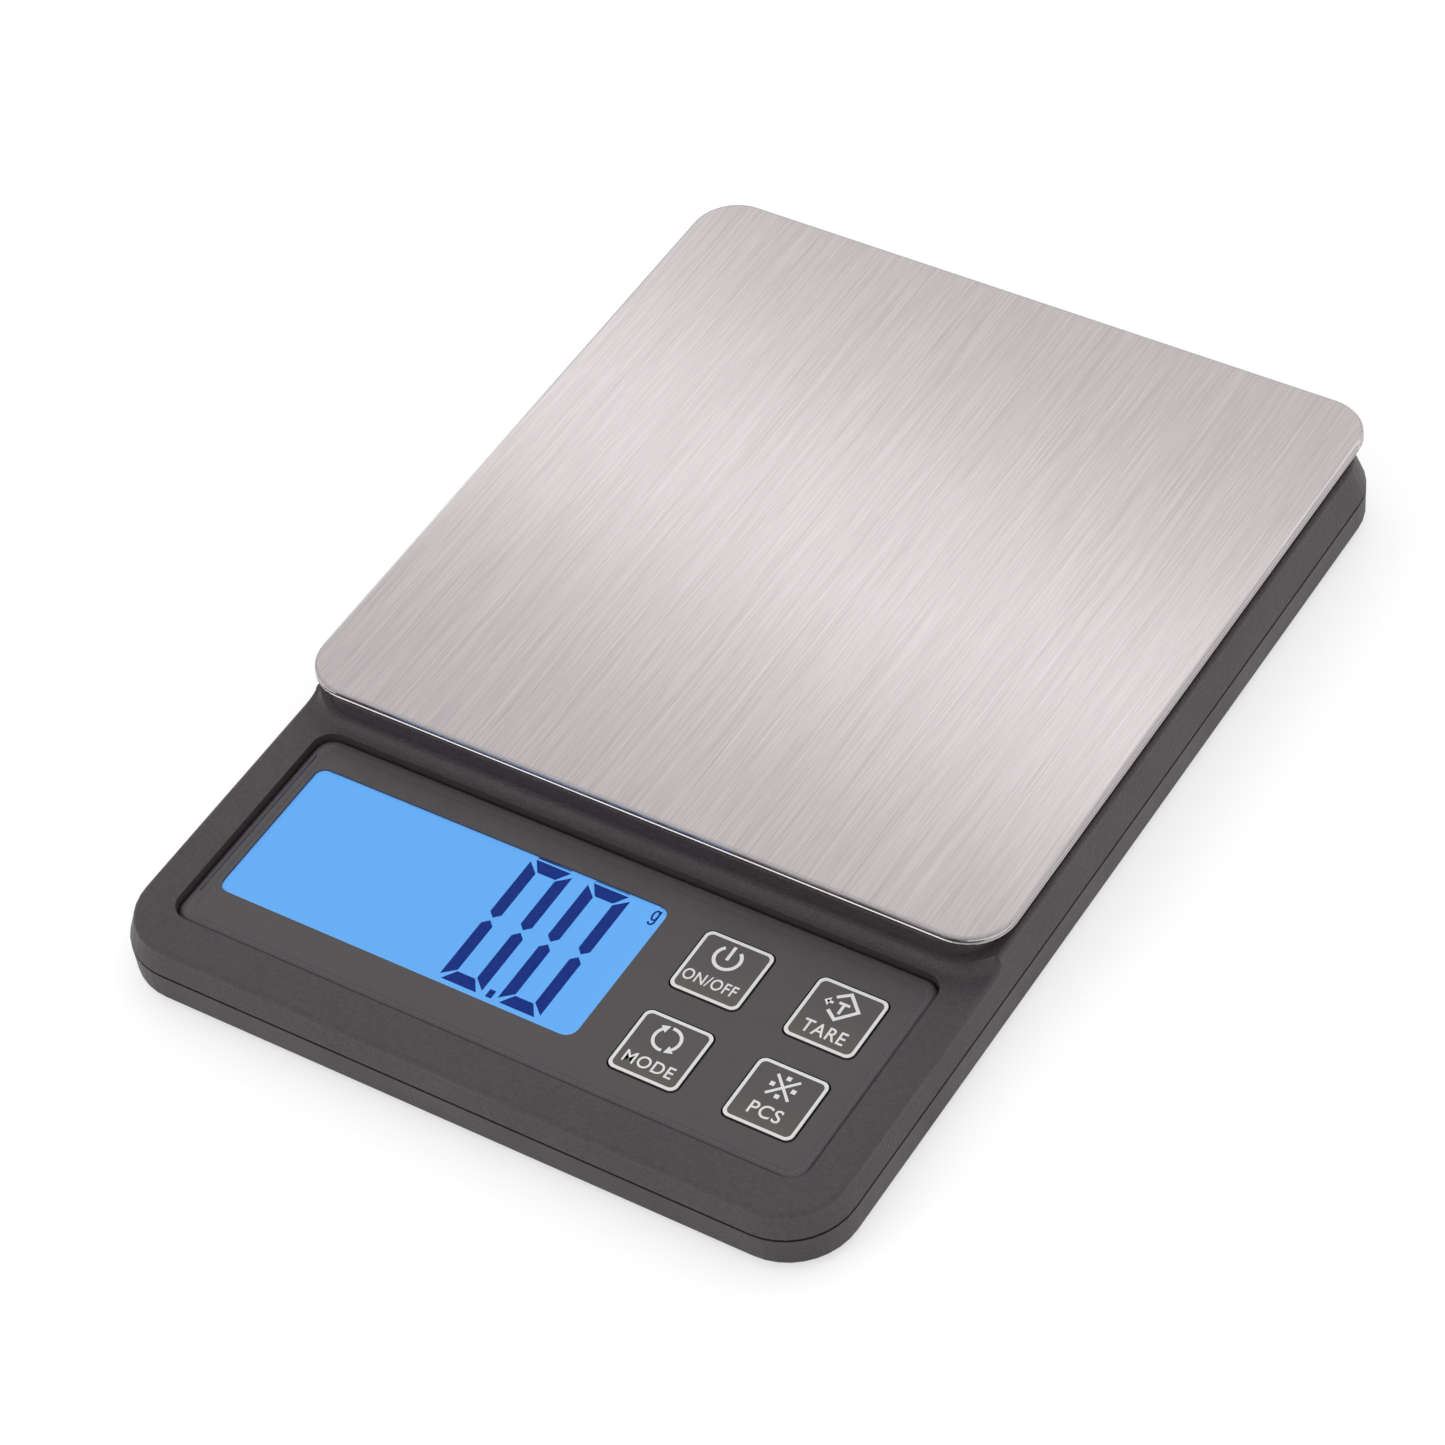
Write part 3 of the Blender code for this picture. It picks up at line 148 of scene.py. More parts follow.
def make_studio():
    scene = bpy.context.scene
    scene.view_settings.view_transform = "Standard"
    scene.world = studio_world()
    bm = bmesh.new()
    bmesh.ops.create_grid(bm, x_segments=1, y_segments=1, size=FLOOR_HALF)
    mesh = bpy.data.meshes.new("floor")
    bm.to_mesh(mesh)
    bm.free()
    floor = bpy.data.objects.new("floor", mesh)
    scene.collection.objects.link(floor)
    mesh.materials.append(floor_material())


# ---------------------------------------------------------------- materials
NOISE_SPAN = (0.3, 0.7)  # most of a noise's values lie in here
UNLIT_SPECULAR = 0.08  # for surfaces whose colour is mostly their own light


def new_material(name, colour, roughness, metallic=0.0):
    made = bpy.data.materials.new(name)
    made.use_nodes = True
    shader = made.node_tree.nodes["Principled BSDF"]
    shader.inputs["Base Color"].default_value = (*colour, 1.0)
    shader.inputs["Roughness"].default_value = roughness
    shader.inputs["Metallic"].default_value = metallic
    return made, made.node_tree, shader


def position(tree, scale=(1.0, 1.0, 1.0)):
    """The object's own coordinates, stretched, as an output socket."""
    where = tree.nodes.new("ShaderNodeTexCoord")
    mapping = tree.nodes.new("ShaderNodeMapping")
    mapping.inputs["Scale"].default_value = scale
    tree.links.new(where.outputs["Object"], mapping.inputs["Vector"])
    return mapping.outputs["Vector"]


def noise(tree, vector, scale, detail=2.0, rough=0.5):
    made = tree.nodes.new("ShaderNodeTexNoise")
    made.inputs["Scale"].default_value = scale
    made.inputs["Detail"].default_value = detail
    made.inputs["Roughness"].default_value = rough
    tree.links.new(vector, made.inputs["Vector"])
    return made.outputs["Fac"]


def cells(tree, vector, scale, smooth=0.6):
    made = tree.nodes.new("ShaderNodeTexVoronoi")
    made.feature = "SMOOTH_F1"
    made.inputs["Scale"].default_value = scale
    made.inputs["Smoothness"].default_value = smooth
    tree.links.new(vector, made.inputs["Vector"])
    return made.outputs["Distance"]


def remap(tree, value, low, high, source):
    """The value taken from its source range to low..high and held inside it."""
    made = tree.nodes.new("ShaderNodeMapRange")
    made.inputs["From Min"].default_value = source[0]
    made.inputs["From Max"].default_value = source[1]
    made.inputs["To Min"].default_value = low
    made.inputs["To Max"].default_value = high
    tree.links.new(value, made.inputs["Value"])
    return made.outputs["Result"]


def blend_colours(tree, factor, low, high):
    made = tree.nodes.new("ShaderNodeMix")
    made.data_type = "RGBA"
    made.inputs["A"].default_value = (*low, 1.0)
    made.inputs["B"].default_value = (*high, 1.0)
    tree.links.new(factor, made.inputs["Factor"])
    return made.outputs["Result"]


def bump(tree, shader, height, depth, strength, after=None):
    """Relief on the shader's normal, on top of an earlier bump where one is given."""
    made = tree.nodes.new("ShaderNodeBump")
    made.inputs["Strength"].default_value = strength
    made.inputs["Distance"].default_value = depth
    tree.links.new(height, made.inputs["Height"])
    if after:
        tree.links.new(after, made.inputs["Normal"])
    tree.links.new(made.outputs["Normal"], shader.inputs["Normal"])
    return made.outputs["Normal"]


def shade(colour, factor):
    return tuple(channel * factor for channel in colour)


def paint(tree, shader, factor, low, high):
    """Colours the surface between two colours."""
    tree.links.new(blend_colours(tree, factor, low, high), shader.inputs["Base Color"])


def mottle(tree, shader, factor, colour, darkest, lightest):
    """Colours the surface between a darker and a lighter tone of one colour."""
    paint(tree, shader, factor, shade(colour, darkest), shade(colour, lightest))


def gloss(tree, shader, factor, low, high):
    """Varies the roughness between two values."""
    tree.links.new(remap(tree, factor, low, high, NOISE_SPAN), shader.inputs["Roughness"])


def floor_material():
    made, tree, shader = new_material("studio_paper", (FLOOR_SHADE,) * 3, 0.9)
    shader.inputs["Specular IOR Level"].default_value = 0.1
    shader.inputs["Emission Color"].default_value = (1.0, 1.0, 1.0, 1.0)
    shader.inputs["Emission Strength"].default_value = FLOOR_GLOW
    grain = noise(tree, position(tree), 900.0)
    bump(tree, shader, grain, 0.00002, 0.2)
    return made


def grained_plastic(name, colour, roughness=0.5, pebble=0.00038, depth=0.00009):
    """Moulded plastic with a leather-like grain: pebbles, fine pits and a slow drift in gloss."""
    made, tree, shader = new_material(name, colour, roughness)
    shader.inputs["Specular IOR Level"].default_value = 0.4
    where = position(tree)
    wander = noise(tree, where, 0.6 / pebble)
    pebbles = cells(tree, where, 1.0 / pebble)
    pits = noise(tree, where, 3.0 / pebble, 3.0, 0.6)
    drift = noise(tree, where, 60.0)
    first = bump(tree, shader, pebbles, depth, 0.6)
    second = bump(tree, shader, wander, depth * 1.5, 0.5, first)
    bump(tree, shader, pits, depth * 0.5, 0.5, second)
    slow = maths(tree, "MULTIPLY", wander, 0.6)
    mixed = maths(tree, "ADD", slow, maths(tree, "MULTIPLY", pits, 0.4))
    mottle(tree, shader, remap(tree, mixed, 0.0, 1.0, NOISE_SPAN), colour, 0.80, 1.20)
    gloss(tree, shader, drift, roughness - 0.06, roughness + 0.06)
    return made


def smooth_plastic(name, colour, roughness):
    """Plain moulded plastic: a slight orange-peel surface and small differences in gloss."""
    made, tree, shader = new_material(name, colour, roughness)
    waviness = 0.000004
    where = position(tree)
    wave = noise(tree, where, 400.0, 2.0)
    fine = noise(tree, where, 5000.0, 2.0)
    first = bump(tree, shader, wave, waviness, 0.4)
    bump(tree, shader, fine, waviness * 0.5, 0.5, first)
    gloss(tree, shader, wave, roughness * 0.85, roughness * 1.15)
    mottle(tree, shader, fine, colour, 0.93, 1.07)
    return made


def brushed_steel():
    """Stainless sheet brushed along Y: long fine streaks, with the gloss spread across them."""
    colour = (0.520, 0.487, 0.489)
    made, tree, shader = new_material("brushed_stainless", colour, 0.18, 1.0)
    hairs = noise(tree, position(tree, (7600.0, 75.0, 7600.0)), 1.0, 2.0, 0.6)
    streaks = noise(tree, position(tree, (3300.0, 42.0, 3300.0)), 1.0, 3.0, 0.7)
    broad = noise(tree, position(tree, (900.0, 12.0, 900.0)), 1.0, 2.0, 0.5)
    mixed = maths(tree, "MULTIPLY", hairs, 0.5)
    mixed = maths(tree, "ADD", mixed, maths(tree, "MULTIPLY", streaks, 0.4))
    mixed = maths(tree, "ADD", mixed, maths(tree, "MULTIPLY", broad, 0.1))
    share = remap(tree, mixed, 0.0, 1.0, (0.36, 0.64))
    mottle(tree, shader, share, colour, 0.84, 1.14)
    gloss(tree, shader, streaks, 0.15, 0.20)
    shader.inputs["Anisotropic"].default_value = 0.95
    across = tree.nodes.new("ShaderNodeCombineXYZ")
    across.inputs["X"].default_value = 1.0
    across.inputs["Z"].default_value = 0.3
    tree.links.new(across.outputs["Vector"], shader.inputs["Tangent"])
    first = bump(tree, shader, streaks, 0.000002, 0.4)
    bump(tree, shader, hairs, 0.000001, 0.4, first)
    return made


def turned_metal(name, colour, roughness, grain=2500.0):
    """Bright plated or milled metal with faint tool marks."""
    made, tree, shader = new_material(name, colour, roughness, 1.0)
    marks = noise(tree, position(tree, (grain, grain, grain * 0.1)), 1.0, 3.0)
    bloom = noise(tree, position(tree), 300.0, 3.0)
    mottle(tree, shader, bloom, colour, 0.85, 1.08)
    gloss(tree, shader, marks, roughness * 0.75, roughness * 1.35)
    bump(tree, shader, marks, 0.000004, 0.4)
    return made


def rubber(name, colour, roughness=0.8):
    """Matt rubber or wire insulation with a fine tooth."""
    made, tree, shader = new_material(name, colour, roughness)
    fine = noise(tree, position(tree), 3500.0, 4.0, 0.6)
    mottle(tree, shader, fine, colour, 0.8, 1.25)
    bump(tree, shader, fine, 0.00002, 0.5)
    return made


def foam():
    """White foam tape with open pores, whose insides are painted darker as painted shade."""
    made, tree, shader = new_material("closed_cell_foam", (0.78, 0.78, 0.75), 0.9)
    pores = cells(tree, position(tree), 3500.0, 0.2)
    bump(tree, shader, pores, 0.00006, 0.8)
    # painted shade: darker toward the middle of each pore
    paint(tree, shader, pores, (0.55, 0.55, 0.52), (0.82, 0.82, 0.79))
    return made


def solder_mask():
    """Green lacquer over faint copper tracks."""
    made, tree, shader = new_material("solder_mask", (0.02, 0.16, 0.07), 0.3)
    tracks = tree.nodes.new("ShaderNodeTexBrick")
    tracks.inputs["Scale"].default_value = 420.0
    tracks.inputs["Mortar Size"].default_value = 0.03
    tracks.inputs["Color1"].default_value = (0.015, 0.13, 0.055, 1.0)
    tracks.inputs["Color2"].default_value = (0.018, 0.15, 0.065, 1.0)
    tracks.inputs["Mortar"].default_value = (0.05, 0.27, 0.11, 1.0)
    tree.links.new(position(tree), tracks.inputs["Vector"])
    tree.links.new(tracks.outputs["Color"], shader.inputs["Base Color"])
    bump(tree, shader, tracks.outputs["Fac"], 0.00003, 0.5)
    return made


def clear_window():
    """Clear plastic, with so weak a reflection that the display shows through evenly."""
    made, tree, shader = new_material("clear_window", (1.0, 1.0, 1.0), 0.0)
    shader.inputs["Transmission Weight"].default_value = 1.0
    shader.inputs["IOR"].default_value = 1.12
    smear = noise(tree, position(tree), 120.0, 2.0)
    paint(tree, shader, smear, (0.985, 0.99, 1.0), (1.0, 1.0, 1.0))
    return made


def lit_display():
    """The lit glass: a blue glow that drifts a little in strength."""
    blue = (0.127, 0.418, 0.913)
    made, tree, shader = new_material("lit_display", shade(blue, 0.03), 0.3)
    shader.inputs["Specular IOR Level"].default_value = UNLIT_SPECULAR
    cloud = noise(tree, position(tree), 18.0, 1.0)
    glow = blend_colours(tree, cloud, shade(blue, 0.97), shade(blue, 1.04))
    tree.links.new(glow, shader.inputs["Emission Color"])
    shader.inputs["Emission Strength"].default_value = 0.98
    return made


def ink(name, colour, roughness=0.45, glow=None):
    """Screen-printed ink with a little speckle, lit from behind where a glow is given."""
    made, tree, shader = new_material(name, colour, roughness)
    if glow:
        shader.inputs["Specular IOR Level"].default_value = UNLIT_SPECULAR
        shader.inputs["Emission Color"].default_value = (*glow, 1.0)
        shader.inputs["Emission Strength"].default_value = 1.0
    speckle = noise(tree, position(tree), 6000.0, 2.0)
    mottle(tree, shader, speckle, colour, 0.9, 1.05)
    bump(tree, shader, speckle, 0.000004, 0.4)
    return made


def key_film():
    """Glossy printed film with a painted sheen: each key lighter and more olive toward its near
    edge.
    """
    made, tree, shader = new_material("key_film", (0.08, 0.075, 0.075), 0.28)
    own = tree.nodes.new("ShaderNodeTexCoord")
    parts = tree.nodes.new("ShaderNodeSeparateXYZ")
    tree.links.new(own.outputs["Generated"], parts.inputs["Vector"])
    cloud = noise(tree, position(tree), 260.0, 2.0)
    # painted sheen: lighter and more olive toward the key's near edge (low Y), broken up by the
    # cloud
    painted_sheen = maths(tree, "ADD", maths(tree, "MULTIPLY", cloud, 0.35), parts.outputs["Y"])
    share = remap(tree, painted_sheen, 0.0, 1.0, (0.2, 0.75))
    paint(tree, shader, share, (0.098, 0.094, 0.074), (0.074, 0.068, 0.071))
    fine = noise(tree, position(tree), 4000.0, 2.0)
    bump(tree, shader, fine, 0.000003, 0.4)
    return made


CHARCOAL_COLOUR = (0.0665, 0.0562, 0.0620)
CHARCOAL = grained_plastic("charcoal_plastic", CHARCOAL_COLOUR)
# painted shade: the top shell's charcoal, darkened for the lower shell and the battery door, which
# are of the same plastic
BASE_PAINTED_SHADE = grained_plastic("base_painted_shade", shade(CHARCOAL_COLOUR, 0.68))
# painted highlight: the charcoal made 1.5 times lighter, standing in for the light along the
# bezel's bevel
BEZEL_PAINTED_HIGHLIGHT = grained_plastic("bezel_painted_highlight", shade(CHARCOAL_COLOUR, 1.50), 0.40, 0.00025, 0.000012)
FILM = smooth_plastic("overlay_film", (0.070, 0.064, 0.068), 0.42)
KEY_FILM = key_film()
STEEL = brushed_steel()
WINDOW = clear_window()
DISPLAY = lit_display()
SEGMENT_INK = ink("segment_ink", (0.001, 0.004, 0.03), 0.3, (0.0, 0.0185, 0.185))
PALE_INK = ink("pale_ink", (0.86, 0.85, 0.85))
BLACK_PLASTIC = smooth_plastic("black_plastic", (0.018, 0.018, 0.018), 0.45)
DIFFUSER = smooth_plastic("backlight_diffuser", (0.72, 0.80, 0.88), 0.35)
ALUMINIUM = turned_metal("milled_aluminium", (0.78, 0.79, 0.80), 0.32)
ZINC = turned_metal("zinc_plate", (0.66, 0.66, 0.63), 0.28)
NICKEL = turned_metal("nickel_plate", (0.72, 0.70, 0.66), 0.22)
RUBBER = rubber("black_rubber", (0.03, 0.03, 0.03))
FOAM = foam()
MASK = solder_mask()
RESIN = smooth_plastic("gauge_resin", (0.80, 0.78, 0.70), 0.5)
SLEEVE = smooth_plastic("battery_sleeve", (0.05, 0.20, 0.13), 0.3)
SLEEVE_BAND = smooth_plastic("battery_sleeve_band", (0.46, 0.38, 0.16), 0.32)
CERAMIC = smooth_plastic("ceramic_part", (0.42, 0.33, 0.22), 0.4)
SOLDER = turned_metal("solder", (0.70, 0.70, 0.70), 0.25, 900.0)
INSULATION = {
    "red": (0.50, 0.02, 0.02),
    "black": (0.02, 0.02, 0.02),
    "green": (0.03, 0.28, 0.06),
    "white": (0.75, 0.75, 0.72),
}

# by the start of the node's name
NODE_LOOKS = {
    "base_shell": BASE_PAINTED_SHADE,
    "top_shell": CHARCOAL,
    "battery_door": BASE_PAINTED_SHADE,
    "panel_bezel": BEZEL_PAINTED_HIGHLIGHT,
    "overlay_panel": FILM,
    "key_": KEY_FILM,
    "weighing_plate": STEEL,
    "plate_carrier": BLACK_PLASTIC,
    "display_window": WINDOW,
    "lcd_glass": DISPLAY,
    "lcd_backlight": DIFFUSER,
    "lcd_contact_strip": RUBBER,
    "load_cell": ALUMINIUM,
    "strain_gauge": RESIN,
    "spacer_": ZINC,
    "case_screw": ZINC,
    "cell_screw": ZINC,
    "board_screw": ZINC,
    "main_board": MASK,
    "controller_chip": BLACK_PLASTIC,
    "switch_": BLACK_PLASTIC,
    "plunger_": RUBBER,
    "foot_": RUBBER,
    "foam_tape": FOAM,
    "battery_1": SLEEVE,
    "battery_2": SLEEVE,
    "contact_": NICKEL,
    "spring_": NICKEL,
}
for wire_name, wire_colour in INSULATION.items():
    look = rubber(f"{wire_name}_insulation", wire_colour, 0.5)
    NODE_LOOKS[f"cell_wire_{wire_name}"] = look
    NODE_LOOKS[f"battery_wire_{wire_name}"] = look


NODE_SHARP = math.radians(32)
LARGE_FACE_WEIGHT = 80


def dress_nodes():
    """Gives each CAD node its material, with flat faces shaded flat and round ones smooth."""
    for name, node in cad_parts.items():
        node.data.materials.clear()
        node.data.materials.append(
            next(look for start, look in NODE_LOOKS.items() if name.startswith(start))
        )
        node.data.shade_smooth()
        node.data.set_sharp_from_angle(angle=NODE_SHARP)
        weighted = node.modifiers.new("even_shading", "WEIGHTED_NORMAL")
        weighted.keep_sharp = True
        weighted.weight = LARGE_FACE_WEIGHT
    for name in ("display_window", "lcd_glass"):
        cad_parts[name].visible_glossy = False  # kept out of reflections in the plate's rim


# ---------------------------------------------------------------- piece helpers
PIECE_SHARP = math.radians(30.0)
PRINT = 0.00003  # thickness of printed ink


def piece(name, bm, materials, body):
    """A finished piece that moves with a body. Face material numbers pick from the materials."""
    bmesh.ops.recalc_face_normals(bm, faces=bm.faces)
    mesh = bpy.data.meshes.new(name)
    bm.to_mesh(mesh)
    bm.free()
    for material in materials if isinstance(materials, tuple) else (materials,):
        mesh.materials.append(material)
    mesh.shade_smooth()
    mesh.set_sharp_from_angle(angle=PIECE_SHARP)
    made = bpy.data.objects.new(name, mesh)
    bpy.context.scene.collection.objects.link(made)
    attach(made, body)
    return made


def extrude_outline(bm, outline, bottom, top):
    """A closed slab between two heights from one outline of (x, y)."""
    low = [bm.verts.new((x, y, bottom)) for x, y in outline]
    high = [bm.verts.new((x, y, top)) for x, y in outline]
    count = len(outline)
    bm.faces.new(list(reversed(low)))
    bm.faces.new(high)
    for here in range(count):
        ahead = (here + 1) % count
        bm.faces.new((low[here], low[ahead], high[ahead], high[here]))


def extrude_band(bm, outer, inner, bottom, top, closed=True):
    """A slab between two outlines of the same length, such as a frame line or an arc."""
    rows = [
        [bm.verts.new((x, y, z)) for x, y in line]
        for z in (bottom, top)
        for line in (outer, inner)
    ]
    out_low, in_low, out_high, in_high = rows
    count = len(outer)
    last = count if closed else count - 1
    for here in range(last):
        ahead = (here + 1) % count
        bm.faces.new((out_low[here], out_low[ahead], out_high[ahead], out_high[here]))
        bm.faces.new((in_low[here], in_high[here], in_high[ahead], in_low[ahead]))
        bm.faces.new((out_high[here], out_high[ahead], in_high[ahead], in_high[here]))
        bm.faces.new((out_low[here], in_low[here], in_low[ahead], out_low[ahead]))
    if not closed:
        for end in (0, count - 1):
            bm.faces.new((out_low[end], in_low[end], in_high[end], out_high[end]))


def rounded(centre, width, depth, radius, steps=8):
    """The outline of a rectangle with round corners."""
    points = []
    for quarter, (sx, sy) in enumerate(((1, 1), (-1, 1), (-1, -1), (1, -1))):
        for step in range(steps + 1):
            turn = math.radians(90 * (quarter + step / steps))
            x = centre[0] + sx * (width / 2 - radius) + radius * math.cos(turn)
            y = centre[1] + sy * (depth / 2 - radius) + radius * math.sin(turn)
            points.append((x, y))
    return points


def arc_points(centre, radii, start, end, steps):
    """Points along part of a circle or an oval, in degrees from +X."""
    turns = [math.radians(start + (end - start) * step / steps) for step in range(steps + 1)]
    x, y = centre
    return [(x + radii[0] * math.cos(t), y + radii[1] * math.sin(t)) for t in turns]


def arc_band(bm, centre, radius, line, start, end, steps, z):
    """A printed arc, by its outer radius."""
    outer = arc_points(centre, (radius, radius), start, end, steps)
    inner = arc_points(centre, (radius - line, radius - line), start, end, steps)
    extrude_band(bm, outer, inner, z, z + PRINT, closed=False)


def stroke(bm, start, end, width, bottom, top):
    """A straight printed line."""
    a, b = Vector(start), Vector(end)
    side = (b - a).orthogonal().normalized() * width / 2
    outline = [a + side, a - side, b - side, b + side]
    extrude_outline(bm, [tuple(point) for point in outline], bottom, top)


def box_outline(centre, width, depth):
    """The outline of a rectangle."""
    x, y = centre
    return [
        (x - width / 2, y - depth / 2),
        (x + width / 2, y - depth / 2),
        (x + width / 2, y + depth / 2),
        (x - width / 2, y + depth / 2),
    ]


LETTER_WEIGHT = 0.010  # thickens every stroke, in the lettering's own units
LETTER_SPACING = 1.10
SAME_POINT = 1e-7


def words(name, text, centre, width, height, bottom, body):
    """Printed lettering as a thin solid, stretched to a given width and height."""
    curve = bpy.data.curves.new(name + "_text", "FONT")
    curve.body = text
    curve.space_character = LETTER_SPACING
    curve.extrude = 0.5
    curve.offset = LETTER_WEIGHT
    source = bpy.data.objects.new(name + "_text", curve)
    bpy.context.scene.collection.objects.link(source)
    bpy.context.view_layer.update()
    graph = bpy.context.evaluated_depsgraph_get()
    mesh = bpy.data.meshes.new_from_object(source.evaluated_get(graph))
    bpy.data.objects.remove(source)
    spans = [[v.co[axis] for v in mesh.vertices] for axis in range(3)]
    low = Vector([min(span) for span in spans])
    high = Vector([max(span) for span in spans])
    size = (width, height, PRINT)
    target = (centre[0] - width / 2, centre[1] - height / 2, bottom)
    for vertex in mesh.vertices:
        for axis in range(3):
            share = (vertex.co[axis] - low[axis]) / (high[axis] - low[axis])
            vertex.co[axis] = target[axis] + share * size[axis]
    bm = bmesh.new()
    bm.from_mesh(mesh)
    bpy.data.meshes.remove(mesh)
    bmesh.ops.remove_doubles(bm, verts=bm.verts, dist=SAME_POINT)
    piece(name, bm, PALE_INK, body)


# ---------------------------------------------------------------- display
SEGMENT = 0.0022
DIGIT_WIDTH = 0.0079
DIGIT_HEIGHT = 0.0272
DIGIT_DROP = 0.00015  # the digits' tops below the window's upper edge
DIGIT_INSETS = (0.0256, 0.01475)  # their left edges, in from the window's right edge
MITRE = 0.00018  # half the gap between segments at a corner
POINT_OFFSET = (0.00155, 0.00083)  # the point, from the first digit's lower right corner
POINT_SIZE = (0.0011, 0.0016)
UNIT_INSET = (0.00172, 0.0019)  # the unit letter, in from the window's upper right corner
FILM_THICKNESS = 0.00004


def digit_segments():
    """The six lit segments of a nought, as outlines from its upper left corner, y downward."""
    w, h, t, g = DIGIT_WIDTH, DIGIT_HEIGHT, SEGMENT, MITRE
    middle = h / 2
    tip, soft, chamfer = 0.0003, 0.0005, 0.0010
    under, slant = t + g * 0.3, g * 0.4
    across = [(soft + g, 0.0), (w - soft - g, 0.0), (w - t - slant, under), (t + slant, under)]
    upright = [
        (0.0, soft + g),
        (t - g * 0.3, t + 2 * g),
        (t - g * 0.3, middle - tip - chamfer),
        (t / 2, middle - tip),
        (0.0, middle - tip - chamfer),
    ]
    upper = [across, upright, [(w - x, y) for x, y in upright]]
    return upper + [[(x, h - y) for x, y in outline] for outline in upper]


def display_segments():
    """Two noughts with a point between them, and the unit letter."""
    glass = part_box("lcd_glass")[1].z
    right, upper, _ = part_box("display_window")[1]
    digits_top = upper - DIGIT_DROP
    lefts = [right - inset for inset in DIGIT_INSETS]
    bm = bmesh.new()
    for left in lefts:
        for outline in digit_segments():
            points = [(left + x, digits_top - y) for x, y in outline]
            extrude_outline(bm, points, glass, glass + PRINT)
    point = (
        lefts[0] + DIGIT_WIDTH + POINT_OFFSET[0],
        digits_top - DIGIT_HEIGHT + POINT_OFFSET[1],
    )
    extrude_outline(bm, box_outline(point, *POINT_SIZE), glass, glass + PRINT)
    piece("lcd_segments", bm, SEGMENT_INK, "base")
    unit_mark((right - UNIT_INSET[0], upper - UNIT_INSET[1]), glass)


def ellipse_band(bm, centre, radii, width, start, end, steps, z):
    """Part of a printed oval ring, by its middle line."""
    lines = [
        arc_points(centre, [radius + side * width for radius in radii], start, end, steps)
        for side in (0.5, -0.5)
    ]
    extrude_band(bm, *lines, z, z + PRINT, closed=False)


def unit_mark(centre, z):
    """The letter g: an oval bowl, a stem at its right and a hook below."""
    width, height, line = 0.00130, 0.0032, 0.00034
    rx = (width - line) / 2
    bowl_ry = height * 0.30
    bowl_y = centre[1] + height / 2 - line / 2 - bowl_ry
    hook_ry = height * 0.16
    hook_y = centre[1] - height / 2 + line / 2 + hook_ry
    stem_x = centre[0] + rx
    bm = bmesh.new()
    ellipse_band(bm, (centre[0], bowl_y), (rx, bowl_ry), line, 0, 360, 32, z)
    stroke(bm, (stem_x, centre[1] + height / 2), (stem_x, hook_y), line, z, z + PRINT)
    ellipse_band(bm, (centre[0], hook_y), (rx, hook_ry), line, 0, -165, 24, z)
    piece("lcd_unit_mark", bm, SEGMENT_INK, "base")


def overlay_border():
    """The printed film's edge, lapped over the joint between the panel insert and its frame."""
    low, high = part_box("overlay_panel")
    centre = ((low.x + high.x) / 2, (low.y + high.y) / 2)
    width, depth = high.x - low.x, high.y - low.y
    bm = bmesh.new()
    lap, corner = 0.0005, 0.0023
    outer = rounded(centre, width + 2 * lap, depth + 2 * lap, corner)
    inner = rounded(centre, width - 2 * lap, depth - 2 * lap, corner - 2 * lap)
    extrude_band(bm, outer, inner, high.z, high.z + FILM_THICKNESS)
    piece("overlay_border", bm, FILM, "base")


# ---------------------------------------------------------------- key printing
# each picture's middle, from its key's
ICON_OFFSETS = {
    "power": (-0.00047, 0.0024),
    "tare": (-0.0001, 0.0023),
    "mode": (-0.00027, 0.0022),
    "pcs": (-0.00013, 0.0023),
}


def key_face(name):
    """The middle and the height of a key's top."""
    low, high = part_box(f"key_{name}")
    return ((low.x + high.x) / 2, (low.y + high.y) / 2), high.z


def icon_place(name):
    """Where a key's picture goes: x, y and z."""
    centre, z = key_face(name)
    offset = ICON_OFFSETS[name]
    return centre[0] + offset[0], centre[1] + offset[1], z


def key_frame(name):
    """The printed line round a key."""
    centre, z = key_face(name)
    size, corner, line = 0.0124, 0.0013, 0.00058
    bm = bmesh.new()
    outer = rounded(centre, size - 2 * PRINT, size - 2 * PRINT, corner)
    inner = rounded(centre, size - 2 * line, size - 2 * line, corner - line * 0.6)
    extrude_band(bm, outer, inner, z, z + PRINT)
    piece(f"key_{name}_frame", bm, PALE_INK, f"key_{name}")


def power_icon():
    """A ring, open at its top, with a line through the opening."""
    x, y, z = icon_place("power")
    bm = bmesh.new()
    gap = 39.0
    arc_band(bm, (x, y), 0.0025, 0.0006, 90 + gap, 450 - gap, 40, z)
    stroke(bm, (x, y + 0.00253), (x, y - 0.00037), 0.00055, z, z + PRINT)
    piece("key_power_icon", bm, PALE_INK, "key_power")


def polyline_band(points, width):
    """Left and right edges of a mitred line through the points."""
    line = [Vector(point) for point in points]
    left, right = [], []
    for number, point in enumerate(line):
        before = (point - line[number - 1]).normalized() if number else None
        after = (line[number + 1] - point).normalized() if number + 1 < len(line) else None
        way = ((before or after) + (after or before)).normalized()
        side = Vector((-way.y, way.x))
        straight = Vector((-(before or after).y, (before or after).x))
        reach = width / 2 / max(0.3, side.dot(straight))
        left.append(tuple(point + side * reach))
        right.append(tuple(point - side * reach))
    return left, right


def arrow_head(bm, tip, way, length, width, bottom, top):
    """A solid triangle that points along the way."""
    tip, way = Vector(tip), Vector(way).normalized()
    side = Vector((-way.y, way.x)) * width / 2
    base = tip - way * length
    outline = [tuple(tip), tuple(base + side), tuple(base - side)]
    extrude_outline(bm, outline, bottom, top)


